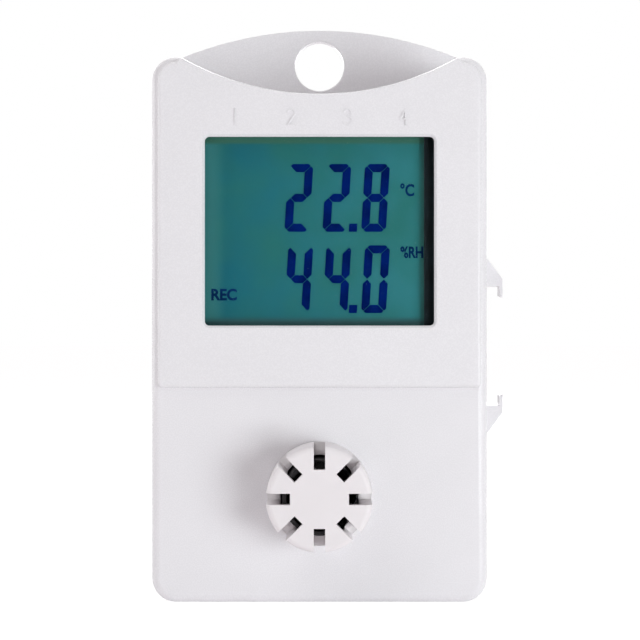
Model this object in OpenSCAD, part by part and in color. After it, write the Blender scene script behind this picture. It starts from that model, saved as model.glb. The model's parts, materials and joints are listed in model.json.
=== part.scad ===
// Temperature and humidity data logger, millimetres.
// +Z is up, the front faces -Y, and the origin is the centre of the bottom face.

/* [Case] */
// Width of the case without the adapter rails
case_w = 60; // [54:1:66]
// Height of the case up to its two horns
case_h = 97.6; // [94:0.2:106]
// Wall thickness of the front shell
wall = 2; // [1.7:0.1:2.3]
// Radius of the case outline at its corners
corner_r = 4.3; // [3.8:0.1:4.6]
// Rounding of the long front edges
edge_r = 1.7; // [1.2:0.1:2]
// Depth of the scooped top edge below the horns
scoop_depth = 6.6; // [6:0.1:8]
// Rounding of the scooped edge, where the horns' wider rounding has run out
scoop_edge_r = 0.4; // [0.3:0.1:1]
// Radius of each horn where it turns into the scoop
horn_r = 2.5; // [2.3:0.1:3]
// Flat on top of each horn
horn_flat = 0.2; // [0.1:0.1:0.8]
// Depth of the rear cover from the parting line to the back
cover_d = 4.6; // [4.2:0.1:5.2]
// Thickness of the rear cover's plate and hanging tab
cover_t = 2.6; // [2.2:0.1:3]

/* [Display field] */
// How far the display field stands proud of the lower front
field_rise = 1.3; // [1:0.1:1.5]
// Margin between the case outline and the display field
field_inset = 1.2; // [1:0.1:1.4]
// Height of the step below the display field
field_z = 38.4; // [36:0.2:39.4]
// Rounding of the display field's edges
field_edge_r = 0.7; // [0.5:0.1:0.9]
// Margin between each side of the case and the display window
window_side = 9.6; // [8.5:0.1:12]
// Margin between the scooped top edge and the display window
window_head = 7.9; // [7:0.1:10]
// Margin between the display window and the step below it
window_sill = 11.1; // [9:0.1:14]
// Corner radius of the display window
window_r = 0.8; // [0.6:0.1:1.2]
// Bevel round the display window
window_bevel = 0.4; // [0.2:0.1:0.6]
// Height of the raised numerals
numeral_h = 2.8; // [2.2:0.1:3.2]
// Spacing of the raised numerals
numeral_pitch = 10; // [8:0.5:11]

/* [Hanging tab] */
// How far the tab's crown stands above the horns
tab_rise = 8.8; // [7.6:0.1:9.2]
// How far the tab's domed edge falls from its crown to its shoulders
tab_fall = 5; // [4:0.1:7]
// Diameter of the hanging hole
hang_hole_d = 9.5; // [8:0.1:9.8]
// Distance from the tab's crown to the centre of the hanging hole
hang_hole_drop = 6.9; // [6.8:0.1:7.4]

/* [Sensor cap] */
// Outer diameter of the cap
cap_d = 18.5; // [17.5:0.1:20]
// Height of the cap's face above the lower front
cap_h = 10.4; // [9:0.1:12]
// Height of the cap's axis above the bottom
cap_z = 19.6; // [18:0.2:21]
// Wall thickness of the cap
cap_wall = 2.3; // [2:0.1:2.8]
// Width of each radial slot
slot_w = 1.96; // [1.4:0.02:2.4]
// Length of each radial slot across the cap's face
slot_l = 4.17; // [3.6:0.01:4.6]
// Number of radial slots
slot_count = 8; // [6:1:10]

/* [Adapter rails] */
// Height of the middle of the rails above the bottom
rail_z = 45.8; // [44:0.2:48]
// Gap between the two rails
rail_gap = 21.9; // [20:0.1:24]
// How far the rails stand out of the side wall
rail_out = 3.6; // [3.2:0.1:4.2]
// Length of the rails from front to back
rail_l = 13; // [11:0.5:13.5]

/* [Battery] */
// Diameter of the cell
cell_d = 14.5; // [14:0.1:15]
// Length of the cell without its positive button
cell_l = 49; // [47:0.5:50]

/* [Hidden] */
$fn = 48;

// Clearances and cutting
overrun = 1;            // how far a cutter reaches past the face that it cuts
glue_gap = 0.05;        // all round a piece that is glued or pressed in
slip_gap = 0.3;         // between pieces that come apart
thread_gap = 0.06;      // radial clearance that stands for a thread

// Thickness of each layer behind the display window
lens_t = 1;
lens_lap = 2;           // how far the pane reaches behind the window's edge
gasket_t = 1.2;
gasket_back = 0.4;      // how far the foam stays behind the window's edge
gasket_band = 1.65;     // how far it shows at the right, where it covers the drive lines
lcd_t = 2;
lcd_lap = 2.6;          // how far the display cell reaches behind the window's edge
reflector_t = 1.5;
board_gap = 2.3;        // from the light guide to the board
board_t = 1.6;
holder_t = 1;           // floor and walls of the battery holder
cell_gap = 0.3;         // from the cell to the rear cover

// Case places that follow from the layers
case_d = wall + gasket_t + lcd_t + reflector_t + board_gap + board_t + holder_t + cell_d
    + cell_gap + cover_t;
front_y = -case_d / 2;                              // front of the display field
base_y = front_y + field_rise;                      // lower front
lcd_y = front_y + wall + gasket_t;                  // front of the display cell
reflector_y = lcd_y + lcd_t;
board_y = reflector_y + reflector_t + board_gap;    // front of the board
board_back_y = board_y + board_t;
cell_y = board_back_y + holder_t + cell_d / 2;
back_y = case_d / 2;
plate_y = back_y - cover_t;                         // inner face of the rear cover's plate
split_y = back_y - cover_d;                         // parting line
half_w = case_w / 2;

// Curve steps, counted for a quarter turn or for the whole scoop or dome
corner_steps = 8;
horn_steps = 4;
sweep_steps = 20;
fillet_steps = 5;
least_r = 0.1;          // of a corner that is drawn in past its own radius

// Scooped top edge: one arc that is tangent to a small arc on each horn
horn_x = half_w - corner_r - horn_flat;
scoop_r = (horn_x ^ 2 + scoop_depth ^ 2) / (2 * scoop_depth) - horn_r;
scoop_z = case_h - scoop_depth + scoop_r;
scoop_angle = asin(horn_x / (scoop_r + horn_r));
scoop_edge_share = scoop_edge_r / edge_r;

// Domed tab: one arc that is tangent to a small arc above each side
tab_corner_r = 5;
tab_edge_r = 0.8;
tab_top = case_h + tab_rise;
shoulder_x = half_w - tab_corner_r;
shoulder_drop = tab_fall + tab_corner_r;
shoulder_z = tab_top - shoulder_drop;
tab_r = (shoulder_x ^ 2 + shoulder_drop ^ 2 - tab_corner_r ^ 2) / (2 * tab_fall);
dome_z = tab_top - tab_r;
shoulder_angle = atan2(shoulder_z - dome_z, shoulder_x);

// Parting line, its seal and the cover's locating ribs
parting_bevel = 0.3;
seal_w = 0.8;
seal_t = 0.8;
lip_t = 1;
lip_h = 1.5;

// Display
field_corner_r = 1;
window_w = case_w - 2 * window_side;
window_top = case_h - scoop_depth - window_head;
window_foot = field_z + window_sill;
window_h = window_top - window_foot;
window_z = (window_top + window_foot) / 2;
lens_r = window_r + lens_lap;
frame_gap = 0.2;
frame_t = 1.2;
field_room_x = half_w - field_inset - wall;
field_room_z = window_top + lcd_lap + frame_gap + frame_t + slip_gap;
strip_w = 1.6;
segment_t = 0.12;       // thickness of the display's segments
digit_h_share = 0.361;  // of the window's height
digit_w_share = 0.109;  // of the window's width, without the slant
stroke_share = 0.043;   // of the window's height
digit_place_shares = [-0.154, 0.013, 0.183];    // left edge of each digit, of the window's width
row_place_shares = [0.501, 0.067];              // foot of each row, of the window's height
row_digits = [[2, 2, 8], [4, 4, 0]];
point_digit = 2;        // the digit that each decimal point stands before
point_gap_share = 0.17; // of the digit's width, between them
digit_slant = 3.5;      // degrees
mitre_gap_share = 0.05; // of the stroke, taken off each end of a bar
corner_cut_share = 0.5; // of the stroke, taken off each outer corner of a digit

// Seven bars of one digit, each as the place of its middle, in shares of half the digit's width and
// height, the way to its first mitred end, its outer side, and how many of its ends are mitred
segment_shares = [[[0, 2], [1, 0], [0, 1], 2], [[1, 1.5], [0, 1], [1, 0], 1],
    [[1, 0.5], [0, -1], [1, 0], 1], [[0, 0], [1, 0], [0, -1], 2], [[-1, 0.5], [0, -1], [-1, 0], 1],
    [[-1, 1.5], [0, 1], [-1, 0], 1], [[0, 1], [1, 0], [0, 1], 0]];
digit_segments = [[0, 1, 2, 3, 4, 5], [1, 2], [0, 1, 6, 4, 3], [0, 1, 6, 2, 3], [5, 6, 1, 2],
    [0, 5, 6, 2, 3], [0, 5, 4, 3, 2, 6], [0, 1, 2], [0, 1, 2, 3, 4, 5, 6], [6, 5, 0, 1, 2, 3]];

// Raised numerals 1 to 4
numeral_w = 1.3;
numeral_line = 0.26;
numeral_rise = 0.18;
numeral_steps = 7;
four_stem_share = 0.2;  // of the numeral's width, right of its middle
four_bar_share = -0.15; // of the numeral's height, above its middle
numeral_gap = 2.05;     // from the window to the numerals' feet
numeral_z = window_top + numeral_gap + numeral_h / 2;

// Screws, posts and inserts
post_r = 3.2;
post_bite = 0.8;        // how far a post merges with the wall beside it
post_x = half_w - wall - post_r + post_bite;
post_low_z = wall + post_r - post_bite;
post_drop = 6.2;         // from the horns' tops to the upper posts
post_high_z = case_h - post_drop;
screw_r = 1.25;
screw_head_r = 2.3;
screw_head_h = 1.5;
screw_sink = 1.8;
screw_l = 8;
screw_head_y = back_y - screw_sink;
screw_tip_y = screw_head_y - screw_l;
screw_hole_r = screw_r + slip_gap;
driver_w = 0.5;
driver_l = 2.6;
driver_t = 0.8;
insert_r = 2.1;
insert_l = 5;

// Board, its bosses and its screws
board_side_gap = 0.5;
board_w = case_w - 2 * wall - 2 * board_side_gap;
board_low_z = post_low_z + post_r + board_side_gap;
board_high_z = post_high_z - post_r - board_side_gap;
boss_r = 2.4;
boss_low_x = board_w / 2 - boss_r - board_side_gap;
boss_low_z = board_low_z + boss_r + board_side_gap;
boss_high_z = field_z - boss_r;
board_screw_r = 0.9;
board_head_r = 1.8;
board_head_h = 1.2;
board_screw_l = 5;
board_hole_r = 1.1;

// Sensor cap, socket and what they hold
cap_r = cap_d / 2;
cap_bore_r = cap_r - cap_wall;
slot_start = cap_r - slot_l;
cap_face_t = 1.6;
cap_foot_t = 0.9;
cap_edge_r = 1.1;
cap_lift = 0.15;        // the seal holds the cap this far off the front
spigot_t = 1;
spigot_r = cap_bore_r + spigot_t;
spigot_l = 4;
socket_bore_r = spigot_r + thread_gap;
socket_t = 1.4;
socket_r = socket_bore_r + socket_t;
seal_ring_w = 0.85;
seal_r = socket_bore_r + seal_ring_w;
seal_sink = 0.6;
sleeve_gap = 0.5;
sleeve_t = 0.7;
sleeve_r = cap_bore_r - sleeve_gap;
socket_floor_y = base_y + spigot_l + slip_gap;
cap_face_y = base_y - cap_h;
sensor_w = 6;
sensor_t = 1;
sensor_tip_gap = 2.4;   // from the cap's inner face to the sensor board's tip
sensor_tip_y = cap_face_y + cap_face_t + sensor_tip_gap;
plug_wall = 1;
plug_y = socket_floor_y + socket_t + frame_gap;     // mouth of the sensor board's header
plug_depth = (board_y - plug_y) / 2;
chip_w = 2.5;
chip_t = 0.9;
chip_tip_gap = 0.6;
bead_r = 0.6;
bead_l = 2.2;

// Adapter rails and port
rail_end = 1.4;         // from the rails to the parting line
rail_back_y = split_y - rail_end;
rail_front_y = rail_back_y - rail_l;
rail_middle_y = (rail_front_y + rail_back_y) / 2;
hook_t = 1.3;           // at its outer end
hook_root = 6.1;        // at the wall
hook_lip_t = 0.6;
hook_lip = 2.1;         // how far the lip turns in
hook_lip_l = 3.5;       // length of the lip, at the rail's front end
plate_margin = 1;
plate_sink = 1;         // floor between the rails, below the side wall
plate_h = rail_gap + 2 * (hook_root + plate_margin);
pin_count = 5;
pin_pitch = 2.54;
pin_r = 0.6;
pin_out = 0.4;
port_w = 6;
port_d = 6;
port_h = pin_count * pin_pitch + 2 * plate_margin;

// Battery
holder_gap = 0.15;
contact_t = 0.4;
button_r = 2.7;
button_h = 1.5;
coil_r = 3;
coil_h = 1.6;
coil_wire = 0.8;
cell_room = cell_l + button_h + coil_h + 2 * contact_t;
holder_w = cell_d + 2 * (holder_t + holder_gap);
holder_x = -board_w / 2 + holder_w / 2 + board_side_gap;
holder_low_z = board_low_z + 2 * (boss_r + board_side_gap);
boss_high_x = -(holder_x + holder_w / 2 + board_head_r + slip_gap);
holder_wall_h_share = 0.6;  // of the cell's diameter
holder_floor_y = board_back_y + holder_t;
holder_wall_y = holder_floor_y + cell_d * holder_wall_h_share;

// Parts on the board, each placed from a board edge
chip_leg = 0.8;
leg_t = 0.25;
leg_w = 0.35;
leg_pitch = 0.8;
mcu_w = 10;
mcu_t = 1.5;
mcu_leg_count = 10;
memory_w = 5;
memory_l = 6;
memory_t = 1.4;
memory_leg_count = 4;
memory_leg_pitch = 1.27;
crystal_w = 3.4;
crystal_l = 8;
crystal_t = 2.4;
capacitor_w = 1.3;
capacitor_l = 2;
capacitor_t = 1.1;
capacitor_count = 6;
capacitor_pitch = 3.2;
reed_r = 1;
reed_l = 11;
reed_lead_r = 0.3;
reed_lead_l = 2;
buzzer_r = 5;
buzzer_h = 4;
buzzer_hole_r = 0.8;
part_gap = 2;           // between neighbours on the board
right_x = holder_x + holder_w / 2 + part_gap;   // left edge of the space beside the holder
memory_z = boss_high_z + board_head_r + part_gap + memory_l / 2;
mcu_z = memory_z + memory_l / 2 + part_gap + mcu_w / 2;
crystal_z = mcu_z + mcu_w / 2 + part_gap + crystal_l / 2;

// Label on the back
label_w = 34;
label_h = 22;
label_t = 0.3;
label_sink = 0.4;
label_z = 44;

// Points along an arc in the front view, as [x, z]. Skip leaves out as many at each end, and the
// radius may change evenly from r to end_r.
function arc(centre, r, from, to, steps, skip = 0, end_r = undef) =
    let (gain = is_undef(end_r) ? 0 : end_r - r)
    [for (i = [skip:steps - skip]) let (a = from + (to - from) * i / steps, reach = r + gain * i / steps)
        [centre.x + reach * cos(a), centre.y + reach * sin(a)]];

// Radius of a rounded corner that is drawn in by inset
function inset_r(r, inset) = max(r - inset, least_r);

// Outline of the case with its horns and scoop, drawn in by inset, along the scoop only by
// scoop_share of it. Base and base_r set where and how it turns at the bottom.
function case_outline(inset = 0, base = 0, base_r = corner_r, scoop_share = 1) =
    let (low = inset_r(base_r, inset), high = inset_r(corner_r, inset),
        horn = inset_r(horn_r, inset), horn_end = inset_r(horn_r, inset * scoop_share),
        sweep = scoop_r + inset * scoop_share)
    concat(
        arc([half_w - base_r, base + base_r], low, -90, 0, corner_steps),
        arc([half_w - corner_r, case_h - corner_r], high, 0, 90, corner_steps),
        arc([horn_x, case_h - horn_r], horn, 90, 90 + scoop_angle, horn_steps, end_r = horn_end),
        arc([0, scoop_z], sweep, 270 + scoop_angle, 270 - scoop_angle, sweep_steps, 1),
        arc([-horn_x, case_h - horn_r], horn_end, 90 - scoop_angle, 90, horn_steps, end_r = horn),
        arc([-half_w + corner_r, case_h - corner_r], high, 90, 180, corner_steps),
        arc([-half_w + base_r, base + base_r], low, 180, 270, corner_steps));

// Outline of the display field, drawn in by inset
function field_outline(inset = 0) =
    case_outline(field_inset + inset, field_z - field_inset, field_inset + field_corner_r,
        scoop_edge_share);

// Outline of the display window, widened by outset
function window_outline(outset = 0) =
    let (x = window_w / 2 - window_r, low = window_foot + window_r, high = window_top - window_r,
        r = window_r + outset)
    concat(
        arc([x, low], r, -90, 0, corner_steps),
        arc([x, high], r, 0, 90, corner_steps),
        arc([-x, high], r, 90, 180, corner_steps),
        arc([-x, low], r, 180, 270, corner_steps));

// Outline of the rear plate with its domed tab, drawn in by inset
function tab_outline(inset = 0) =
    let (low = inset_r(corner_r, inset), shoulder = inset_r(tab_corner_r, inset))
    concat(
        arc([half_w - corner_r, corner_r], low, -90, 0, corner_steps),
        arc([shoulder_x, shoulder_z], shoulder, 0, shoulder_angle, corner_steps),
        arc([0, dome_z], tab_r - inset, shoulder_angle, 180 - shoulder_angle, sweep_steps, 1),
        arc([-shoulder_x, shoulder_z], shoulder, 180 - shoulder_angle, 180, corner_steps),
        arc([-half_w + corner_r, corner_r], low, 180, 270, corner_steps));

// [inset, y] steps of a rounded edge that ends on the front face at face_y
function front_rounding(face_y, r) =
    [for (k = [0:fillet_steps]) let (a = 90 * k / fillet_steps)
        [r * (1 - cos(a)), face_y + r * (1 - sin(a))]];

// The same for an edge that starts on the back face at face_y
function back_rounding(face_y, r) =
    [for (k = [0:fillet_steps]) let (a = 90 * k / fillet_steps)
        [r * (1 - sin(a)), face_y - r * (1 - cos(a))]];

// Points of one outline at depth y
function ring(outline, y) = [for (p = outline) [p.x, y, p.y]];

// Solid through rings of equal length, ordered from back to front. Each end is a fan about a point
// on the centre line at height mid_z.
module loft(rings, mid_z) {
    n = len(rings[0]);
    last = len(rings) - 1;
    points = concat([for (r = rings) each r],
        [[0, rings[0][0].y, mid_z], [0, rings[last][0].y, mid_z]]);
    back = n * len(rings);
    front = back + 1;
    faces = concat(
        [for (k = [0:last - 1], i = [0:n - 1]) let (j = (i + 1) % n)
            [k * n + i, (k + 1) * n + i, (k + 1) * n + j]],
        [for (k = [0:last - 1], i = [0:n - 1]) let (j = (i + 1) % n)
            [k * n + i, (k + 1) * n + j, k * n + j]],
        [for (i = [0:n - 1]) [back, i, (i + 1) % n]],
        [for (i = [0:n - 1]) [front, last * n + (i + 1) % n, last * n + i]]);
    polyhedron(points, faces);
}

// Prism of a front-view shape from depth y0 to y1
module prism(y0, y1) {
    translate([0, y1, 0]) rotate([90, 0, 0]) linear_extrude(y1 - y0) children();
}

// Round bar along Y from depth y0 to y1
module bar(r, y0, y1) {
    translate([0, y1, 0]) rotate([90, 0, 0]) cylinder(r = r, h = y1 - y0);
}

// Body of revolution about a Y axis. The profile is [r, depth] with depth counted towards -Y.
module turned(profile) {
    rotate([90, 0, 0]) rotate_extrude() polygon(profile);
}

// Block between two corners
module block(low, high) {
    translate(low) cube(high - low);
}

// Rectangle with round corners, centred, in the front view
module round_rect(w, h, r) {
    square([w - 2 * r, h], center = true);
    square([w, h - 2 * r], center = true);
    for (x = [-1, 1], z = [-1, 1])
        translate([x * (w / 2 - r), z * (h / 2 - r)]) circle(r);
}

// The four corners that hold the two case halves together
module at_posts() {
    for (x = [-post_x, post_x], z = [post_low_z, post_high_z]) translate([x, 0, z]) children();
}

// The four places where the board is screwed down
module at_bosses() {
    for (side = [-1, 1]) {
        translate([side * boss_low_x, 0, boss_low_z]) children();
        translate([side * boss_high_x, 0, boss_high_z]) children();
    }
}

// A point slanted as the digits are
function slanted(p) = [p.x + p.y * tan(digit_slant), p.y];

// One end of a bar, reach away from the bar's middle, from its outer side to its inner side
function bar_end(reach, stroke, mitred) =
    let (half = stroke / 2, cut = stroke * corner_cut_share)
    mitred ? [[reach + half - cut, half], [reach + half - cut / 2, half - cut / 2],
        [reach - half, -half]] : [[reach - half, half], [reach, 0], [reach - half, -half]];

// One bar of a digit about its middle, as its row of segment_shares says
module segment(middle, reach, stroke, bar_row) {
    near = bar_end(reach, stroke, bar_row[3] > 0);
    far = bar_end(reach, stroke, bar_row[3] > 1);
    flat = concat(near, [for (i = [len(far) - 1:-1:0]) [-far[i].x, far[i].y]]);
    polygon([for (p = flat) slanted(middle + p.x * bar_row[1] + p.y * bar_row[2])]);
}

// One seven-segment digit with its lower left corner at the origin
module digit(value, w, h, stroke) {
    inner = [w - stroke, h - stroke];
    for (i = digit_segments[value]) {
        bar_row = segment_shares[i];
        middle = [(w + bar_row[0].x * inner.x) / 2, (stroke + bar_row[0].y * inner.y) / 2];
        span = bar_row[1].x == 0 ? inner.y / 2 : inner.x;
        segment(middle, span / 2 - stroke * mitre_gap_share, stroke, bar_row);
    }
}

// Outline of a line of even width along a path, with square ends
function ribbon(path, width) =
    let (last = len(path) - 1,
        ways = [for (i = [0:last]) let (way = path[min(i + 1, last)] - path[max(i - 1, 0)])
            way / norm(way) * width / 2],
        line = concat([path[0] - ways[0]], [for (i = [1:1:last - 1]) path[i]],
            [path[last] + ways[last]]))
    concat([for (i = [0:last]) line[i] + [-ways[i].y, ways[i].x]],
        [for (i = [last:-1:0]) line[i] - [-ways[i].y, ways[i].x]]);

// The lines of the numerals 1 to 4, each about the numeral's middle
function numeral_paths() =
    let (r = numeral_w / 2, top = numeral_h / 2, low_r = top - r,
        stem = numeral_w * four_stem_share, bar = numeral_h * four_bar_share)
    [[[[0, -top], [0, top]]],
        [concat(arc([0, top - r], r, 170, -30, numeral_steps), [[-r, -top]]),
            [[-r, -top], [r, -top]]],
        [arc([0, top - r], r, 160, -80, numeral_steps),
            arc([0, low_r - top], low_r, 80, -160, numeral_steps)],
        [[[stem, top], [-r, bar]], [[-r, bar], [r, bar]], [[stem, top], [stem, -top]]]];

// The row of numerals above the window, in the front view
module numerals() {
    rows = numeral_paths();
    last = len(rows) - 1;
    for (i = [0:last]) translate([(i - last / 2) * numeral_pitch, numeral_z])
        for (path = rows[i]) polygon(ribbon(path, numeral_line));
}

// Outer form of the front shell: the case with rounded front edges, and the field that stands on it
module shell_form() {
    loft(concat(
        [ring(case_outline(parting_bevel), split_y)],
        [ring(case_outline(), split_y - parting_bevel)],
        [for (s = front_rounding(base_y, edge_r))
            ring(case_outline(s.x, scoop_share = scoop_edge_share), s.y)]), case_h / 2);
    loft(concat(
        [ring(field_outline(), base_y + wall / 2)],
        [for (s = front_rounding(front_y, field_edge_r)) ring(field_outline(s.x), s.y)]),
        (case_h + field_z) / 2);
}

module front_shell() {
    color("whitesmoke") difference() {
        union() {
            difference() {
                shell_form();
                prism(base_y + wall, split_y + overrun) polygon(case_outline(wall));
                block([-field_room_x, front_y + wall, field_z + wall],
                    [field_room_x, base_y + wall + overrun, field_room_z]);
            }
            // Posts for the cover's screws and bosses for the board
            at_posts() bar(post_r, base_y + wall / 2, split_y);
            at_bosses() bar(boss_r, base_y + wall / 2, board_y);
            prism(front_y - numeral_rise, front_y + wall / 2) numerals();
        }
        // Window, with a bevel round it and the pane's rebate behind
        loft([ring(window_outline(), front_y + wall + overrun),
            ring(window_outline(), front_y + window_bevel),
            ring(window_outline(window_bevel + overrun), front_y - overrun)], window_z);
        prism(front_y + wall - lens_t, front_y + wall + overrun) translate([0, window_z])
            round_rect(window_w + 2 * lens_lap, window_h + 2 * lens_lap, lens_r);
        // Hole for the cap's spigot, with a rebate for its seal
        translate([0, 0, cap_z]) {
            bar(socket_bore_r, base_y - overrun, base_y + wall + overrun);
            bar(seal_r, base_y - overrun, base_y + seal_sink);
        }
        // Opening for the plate of the adapter rails
        block([half_w - wall - overrun, rail_front_y, rail_z - plate_h / 2],
            [half_w + overrun, rail_back_y, rail_z + plate_h / 2]);
        // Seats of the inserts, with room below them for the tips of the screws
        at_posts() {
            bar(insert_r, split_y - insert_l, split_y + overrun);
            bar(screw_hole_r, screw_tip_y - slip_gap, split_y);
        }
        at_bosses() bar(board_screw_r, board_y - board_screw_l, board_y + overrun);
    }
}

module rear_cover() {
    color("whitesmoke") difference() {
        union() {
            loft(concat(
                [for (s = back_rounding(back_y, tab_edge_r)) ring(tab_outline(s.x), s.y)],
                [ring(tab_outline(), plate_y)]), case_h / 2);
            difference() {
                loft([ring(case_outline(), plate_y),
                    ring(case_outline(), split_y + parting_bevel),
                    ring(case_outline(parting_bevel), split_y)], case_h / 2);
                prism(split_y - overrun, plate_y + overrun) polygon(case_outline(wall));
            }
            // Locating ribs along the two sides and the bottom, between the posts
            for (side = [0, 1]) mirror([side, 0, 0])
                block([half_w - wall - slip_gap - lip_t, split_y - lip_h,
                    post_low_z + post_r + slip_gap],
                    [half_w - wall - slip_gap, plate_y, post_high_z - post_r - slip_gap]);
            block([-post_x + post_r + slip_gap, split_y - lip_h, wall + slip_gap],
                [post_x - post_r - slip_gap, plate_y, wall + slip_gap + lip_t]);
            at_posts() bar(post_r, split_y, plate_y + cover_t / 2);
        }
        translate([0, 0, tab_top - hang_hole_drop])
            bar(hang_hole_d / 2, plate_y - overrun, back_y + overrun);
        at_posts() {
            bar(screw_hole_r, split_y - overrun, back_y + overrun);
            bar(screw_head_r + slip_gap, screw_head_y, back_y + overrun);
        }
        seal_band(split_y - overrun, split_y + seal_t, glue_gap);
        block([-label_w / 2, back_y - label_sink, label_z - label_h / 2],
            [label_w / 2, back_y + overrun, label_z + label_h / 2]);
    }
}

// Band that runs round the middle of the case wall
module seal_band(y0, y1, gap) {
    difference() {
        prism(y0, y1) polygon(case_outline((wall - seal_w) / 2 - gap));
        prism(y0 - overrun, y1 + overrun) polygon(case_outline((wall + seal_w) / 2 + gap));
    }
}

module case_seal() {
    color("dimgray") seal_band(split_y, split_y + seal_t, 0);
}

module back_label() {
    reach = [label_w / 2 - glue_gap, label_h / 2 - glue_gap];
    floor_y = back_y - label_sink;
    color("lightgray") block([-reach.x, floor_y, label_z - reach.y],
        [reach.x, floor_y + label_t, label_z + reach.y]);
}

module cover_screws() {
    top_y = screw_head_y + screw_head_h;
    color("silver") at_posts() difference() {
        union() {
            bar(screw_head_r, screw_head_y, top_y);
            bar(screw_r, screw_tip_y, screw_head_y + screw_head_h / 2);
        }
        for (turn = [0, 90]) rotate([0, turn, 0])
            block([-driver_l / 2, top_y - driver_t, -driver_w / 2],
                [driver_l / 2, top_y + overrun, driver_w / 2]);
    }
}

module screw_inserts() {
    color("goldenrod") at_posts() difference() {
        bar(insert_r - glue_gap, split_y - insert_l, split_y);
        bar(screw_r + thread_gap, split_y - insert_l - overrun, split_y + overrun);
    }
}

module display_lens() {
    color("lightcyan", 0.4) prism(front_y + wall - lens_t, front_y + wall) translate([0, window_z])
        round_rect(window_w + 2 * (lens_lap - glue_gap), window_h + 2 * (lens_lap - glue_gap),
            lens_r - glue_gap);
}

module display_gasket() {
    outer_w = window_w + 2 * (lcd_lap + frame_gap + frame_t);
    outer_h = window_h + 2 * (lcd_lap + frame_gap + frame_t);
    low = [-window_w / 2 - gasket_back, window_foot - gasket_back];
    high = [window_w / 2 - gasket_band, window_top + gasket_back];
    color("black") difference() {
        prism(lcd_y - gasket_t, lcd_y) translate([0, window_z])
            square([outer_w, outer_h], center = true);
        block([low.x, lcd_y - gasket_t - overrun, low.y], [high.x, lcd_y + overrun, high.y]);
    }
}

module lcd_glass() {
    color("teal") prism(lcd_y, lcd_y + lcd_t) translate([0, window_z])
        square([window_w + 2 * lcd_lap, window_h + 2 * lcd_lap], center = true);
}

module lcd_digits() {
    w = window_w * digit_w_share;
    h = window_h * digit_h_share;
    line = window_h * stroke_share;
    point_x = window_w * digit_place_shares[point_digit] - w * point_gap_share - line;
    color("midnightblue") prism(lcd_y - segment_t, lcd_y) for (row = [0:len(row_digits) - 1]) {
        z = window_foot + window_h * row_place_shares[row];
        for (i = [0:len(row_digits[row]) - 1]) translate([window_w * digit_place_shares[i], z])
            digit(row_digits[row][i], w, h, line);
        translate([point_x, z])
            polygon([for (p = [[0, 0], [line, 0], [line, line], [0, line]]) slanted(p)]);
    }
}

module lcd_reflector() {
    h = window_h + 2 * (lcd_lap - strip_w - frame_gap);
    color("white") prism(reflector_y, reflector_y + reflector_t) translate([0, window_z])
        square([window_w + 2 * lcd_lap, h], center = true);
}

module contact_strips() {
    reach = window_h / 2 + lcd_lap;
    color("hotpink") for (side = [-1, 1]) {
        z = window_z + side * (reach - strip_w / 2);
        block([-window_w / 2, reflector_y, z - strip_w / 2],
            [window_w / 2, board_y, z + strip_w / 2]);
    }
}

module lcd_frame() {
    w = window_w + 2 * (lcd_lap + frame_gap);
    h = window_h + 2 * (lcd_lap + frame_gap);
    color("ivory") {
        difference() {
            prism(lcd_y, board_y) translate([0, window_z])
                square([w + 2 * frame_t, h + 2 * frame_t], center = true);
            prism(lcd_y - overrun, board_y + overrun) translate([0, window_z])
                square([w, h], center = true);
        }
        // Two ribs that carry the light guide, outside the contact strips
        for (side = [-1, 1]) {
            x = side * (window_w + lcd_lap) / 2;
            block([x - frame_t / 2, reflector_y + reflector_t, window_z - (h + frame_t) / 2],
                [x + frame_t / 2, board_y, window_z + (h + frame_t) / 2]);
        }
    }
}

module main_board() {
    color("seagreen") difference() {
        block([-board_w / 2, board_y, board_low_z], [board_w / 2, board_back_y, board_high_z]);
        at_bosses() bar(board_hole_r, board_y - overrun, board_back_y + overrun);
    }
}

module board_screws() {
    color("silver") at_bosses() {
        bar(board_head_r, board_back_y, board_back_y + board_head_h);
        bar(board_screw_r - glue_gap, board_back_y + board_head_h / 2 - board_screw_l,
            board_back_y + board_head_h / 2);
    }
}

// Chip body with two rows of gull-wing legs, its middle at the origin and its foot on the board
module chip(w, l, t, legs, pitch) {
    block([-w / 2, leg_t / 2, -l / 2], [w / 2, t, l / 2]);
    for (side = [-1, 1], i = [0:legs - 1])
        translate([side * (w / 2 + chip_leg / 2), 0, (i - (legs - 1) / 2) * pitch])
            translate([0, leg_t / 2, 0]) cube([chip_leg, leg_t, leg_w], center = true);
}

module microcontroller() {
    x = right_x + mcu_w / 2 + chip_leg;
    color("black") translate([x, board_back_y, mcu_z])
        chip(mcu_w, mcu_w, mcu_t, mcu_leg_count, leg_pitch);
}

module memory_chip() {
    x = right_x + memory_w / 2 + chip_leg;
    color("black") translate([x, board_back_y, memory_z])
        chip(memory_w, memory_l, memory_t, memory_leg_count, memory_leg_pitch);
}

module clock_crystal() {
    x = right_x + crystal_w / 2;
    color("silver") translate([x, 0, crystal_z]) prism(board_back_y, board_back_y + crystal_t)
        round_rect(crystal_w, crystal_l, crystal_w / 4);
}

module capacitors() {
    x = right_x + 2 * chip_leg + mcu_w + part_gap;
    color("tan") for (i = [0:capacitor_count - 1]) {
        z = mcu_z + (i - (capacitor_count - 1) / 2) * capacitor_pitch;
        block([x, board_back_y, z - capacitor_w / 2],
            [x + capacitor_l, board_back_y + capacitor_t, z + capacitor_w / 2]);
    }
}

module reed_switch() {
    z = boss_low_z + boss_r + part_gap;
    middle = [right_x + reed_l / 2 + reed_lead_l, board_back_y + reed_r, z];
    color("lightblue") translate(middle) rotate([0, 90, 0]) {
        cylinder(r = reed_r, h = reed_l, center = true);
        cylinder(r = reed_lead_r, h = reed_l + 2 * reed_lead_l, center = true);
    }
    color("silver") for (side = [-1, 1])
        translate([middle.x + side * (reed_l / 2 + reed_lead_l), board_back_y, z])
            bar(reed_lead_r, 0, reed_r + reed_lead_r);
}

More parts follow.
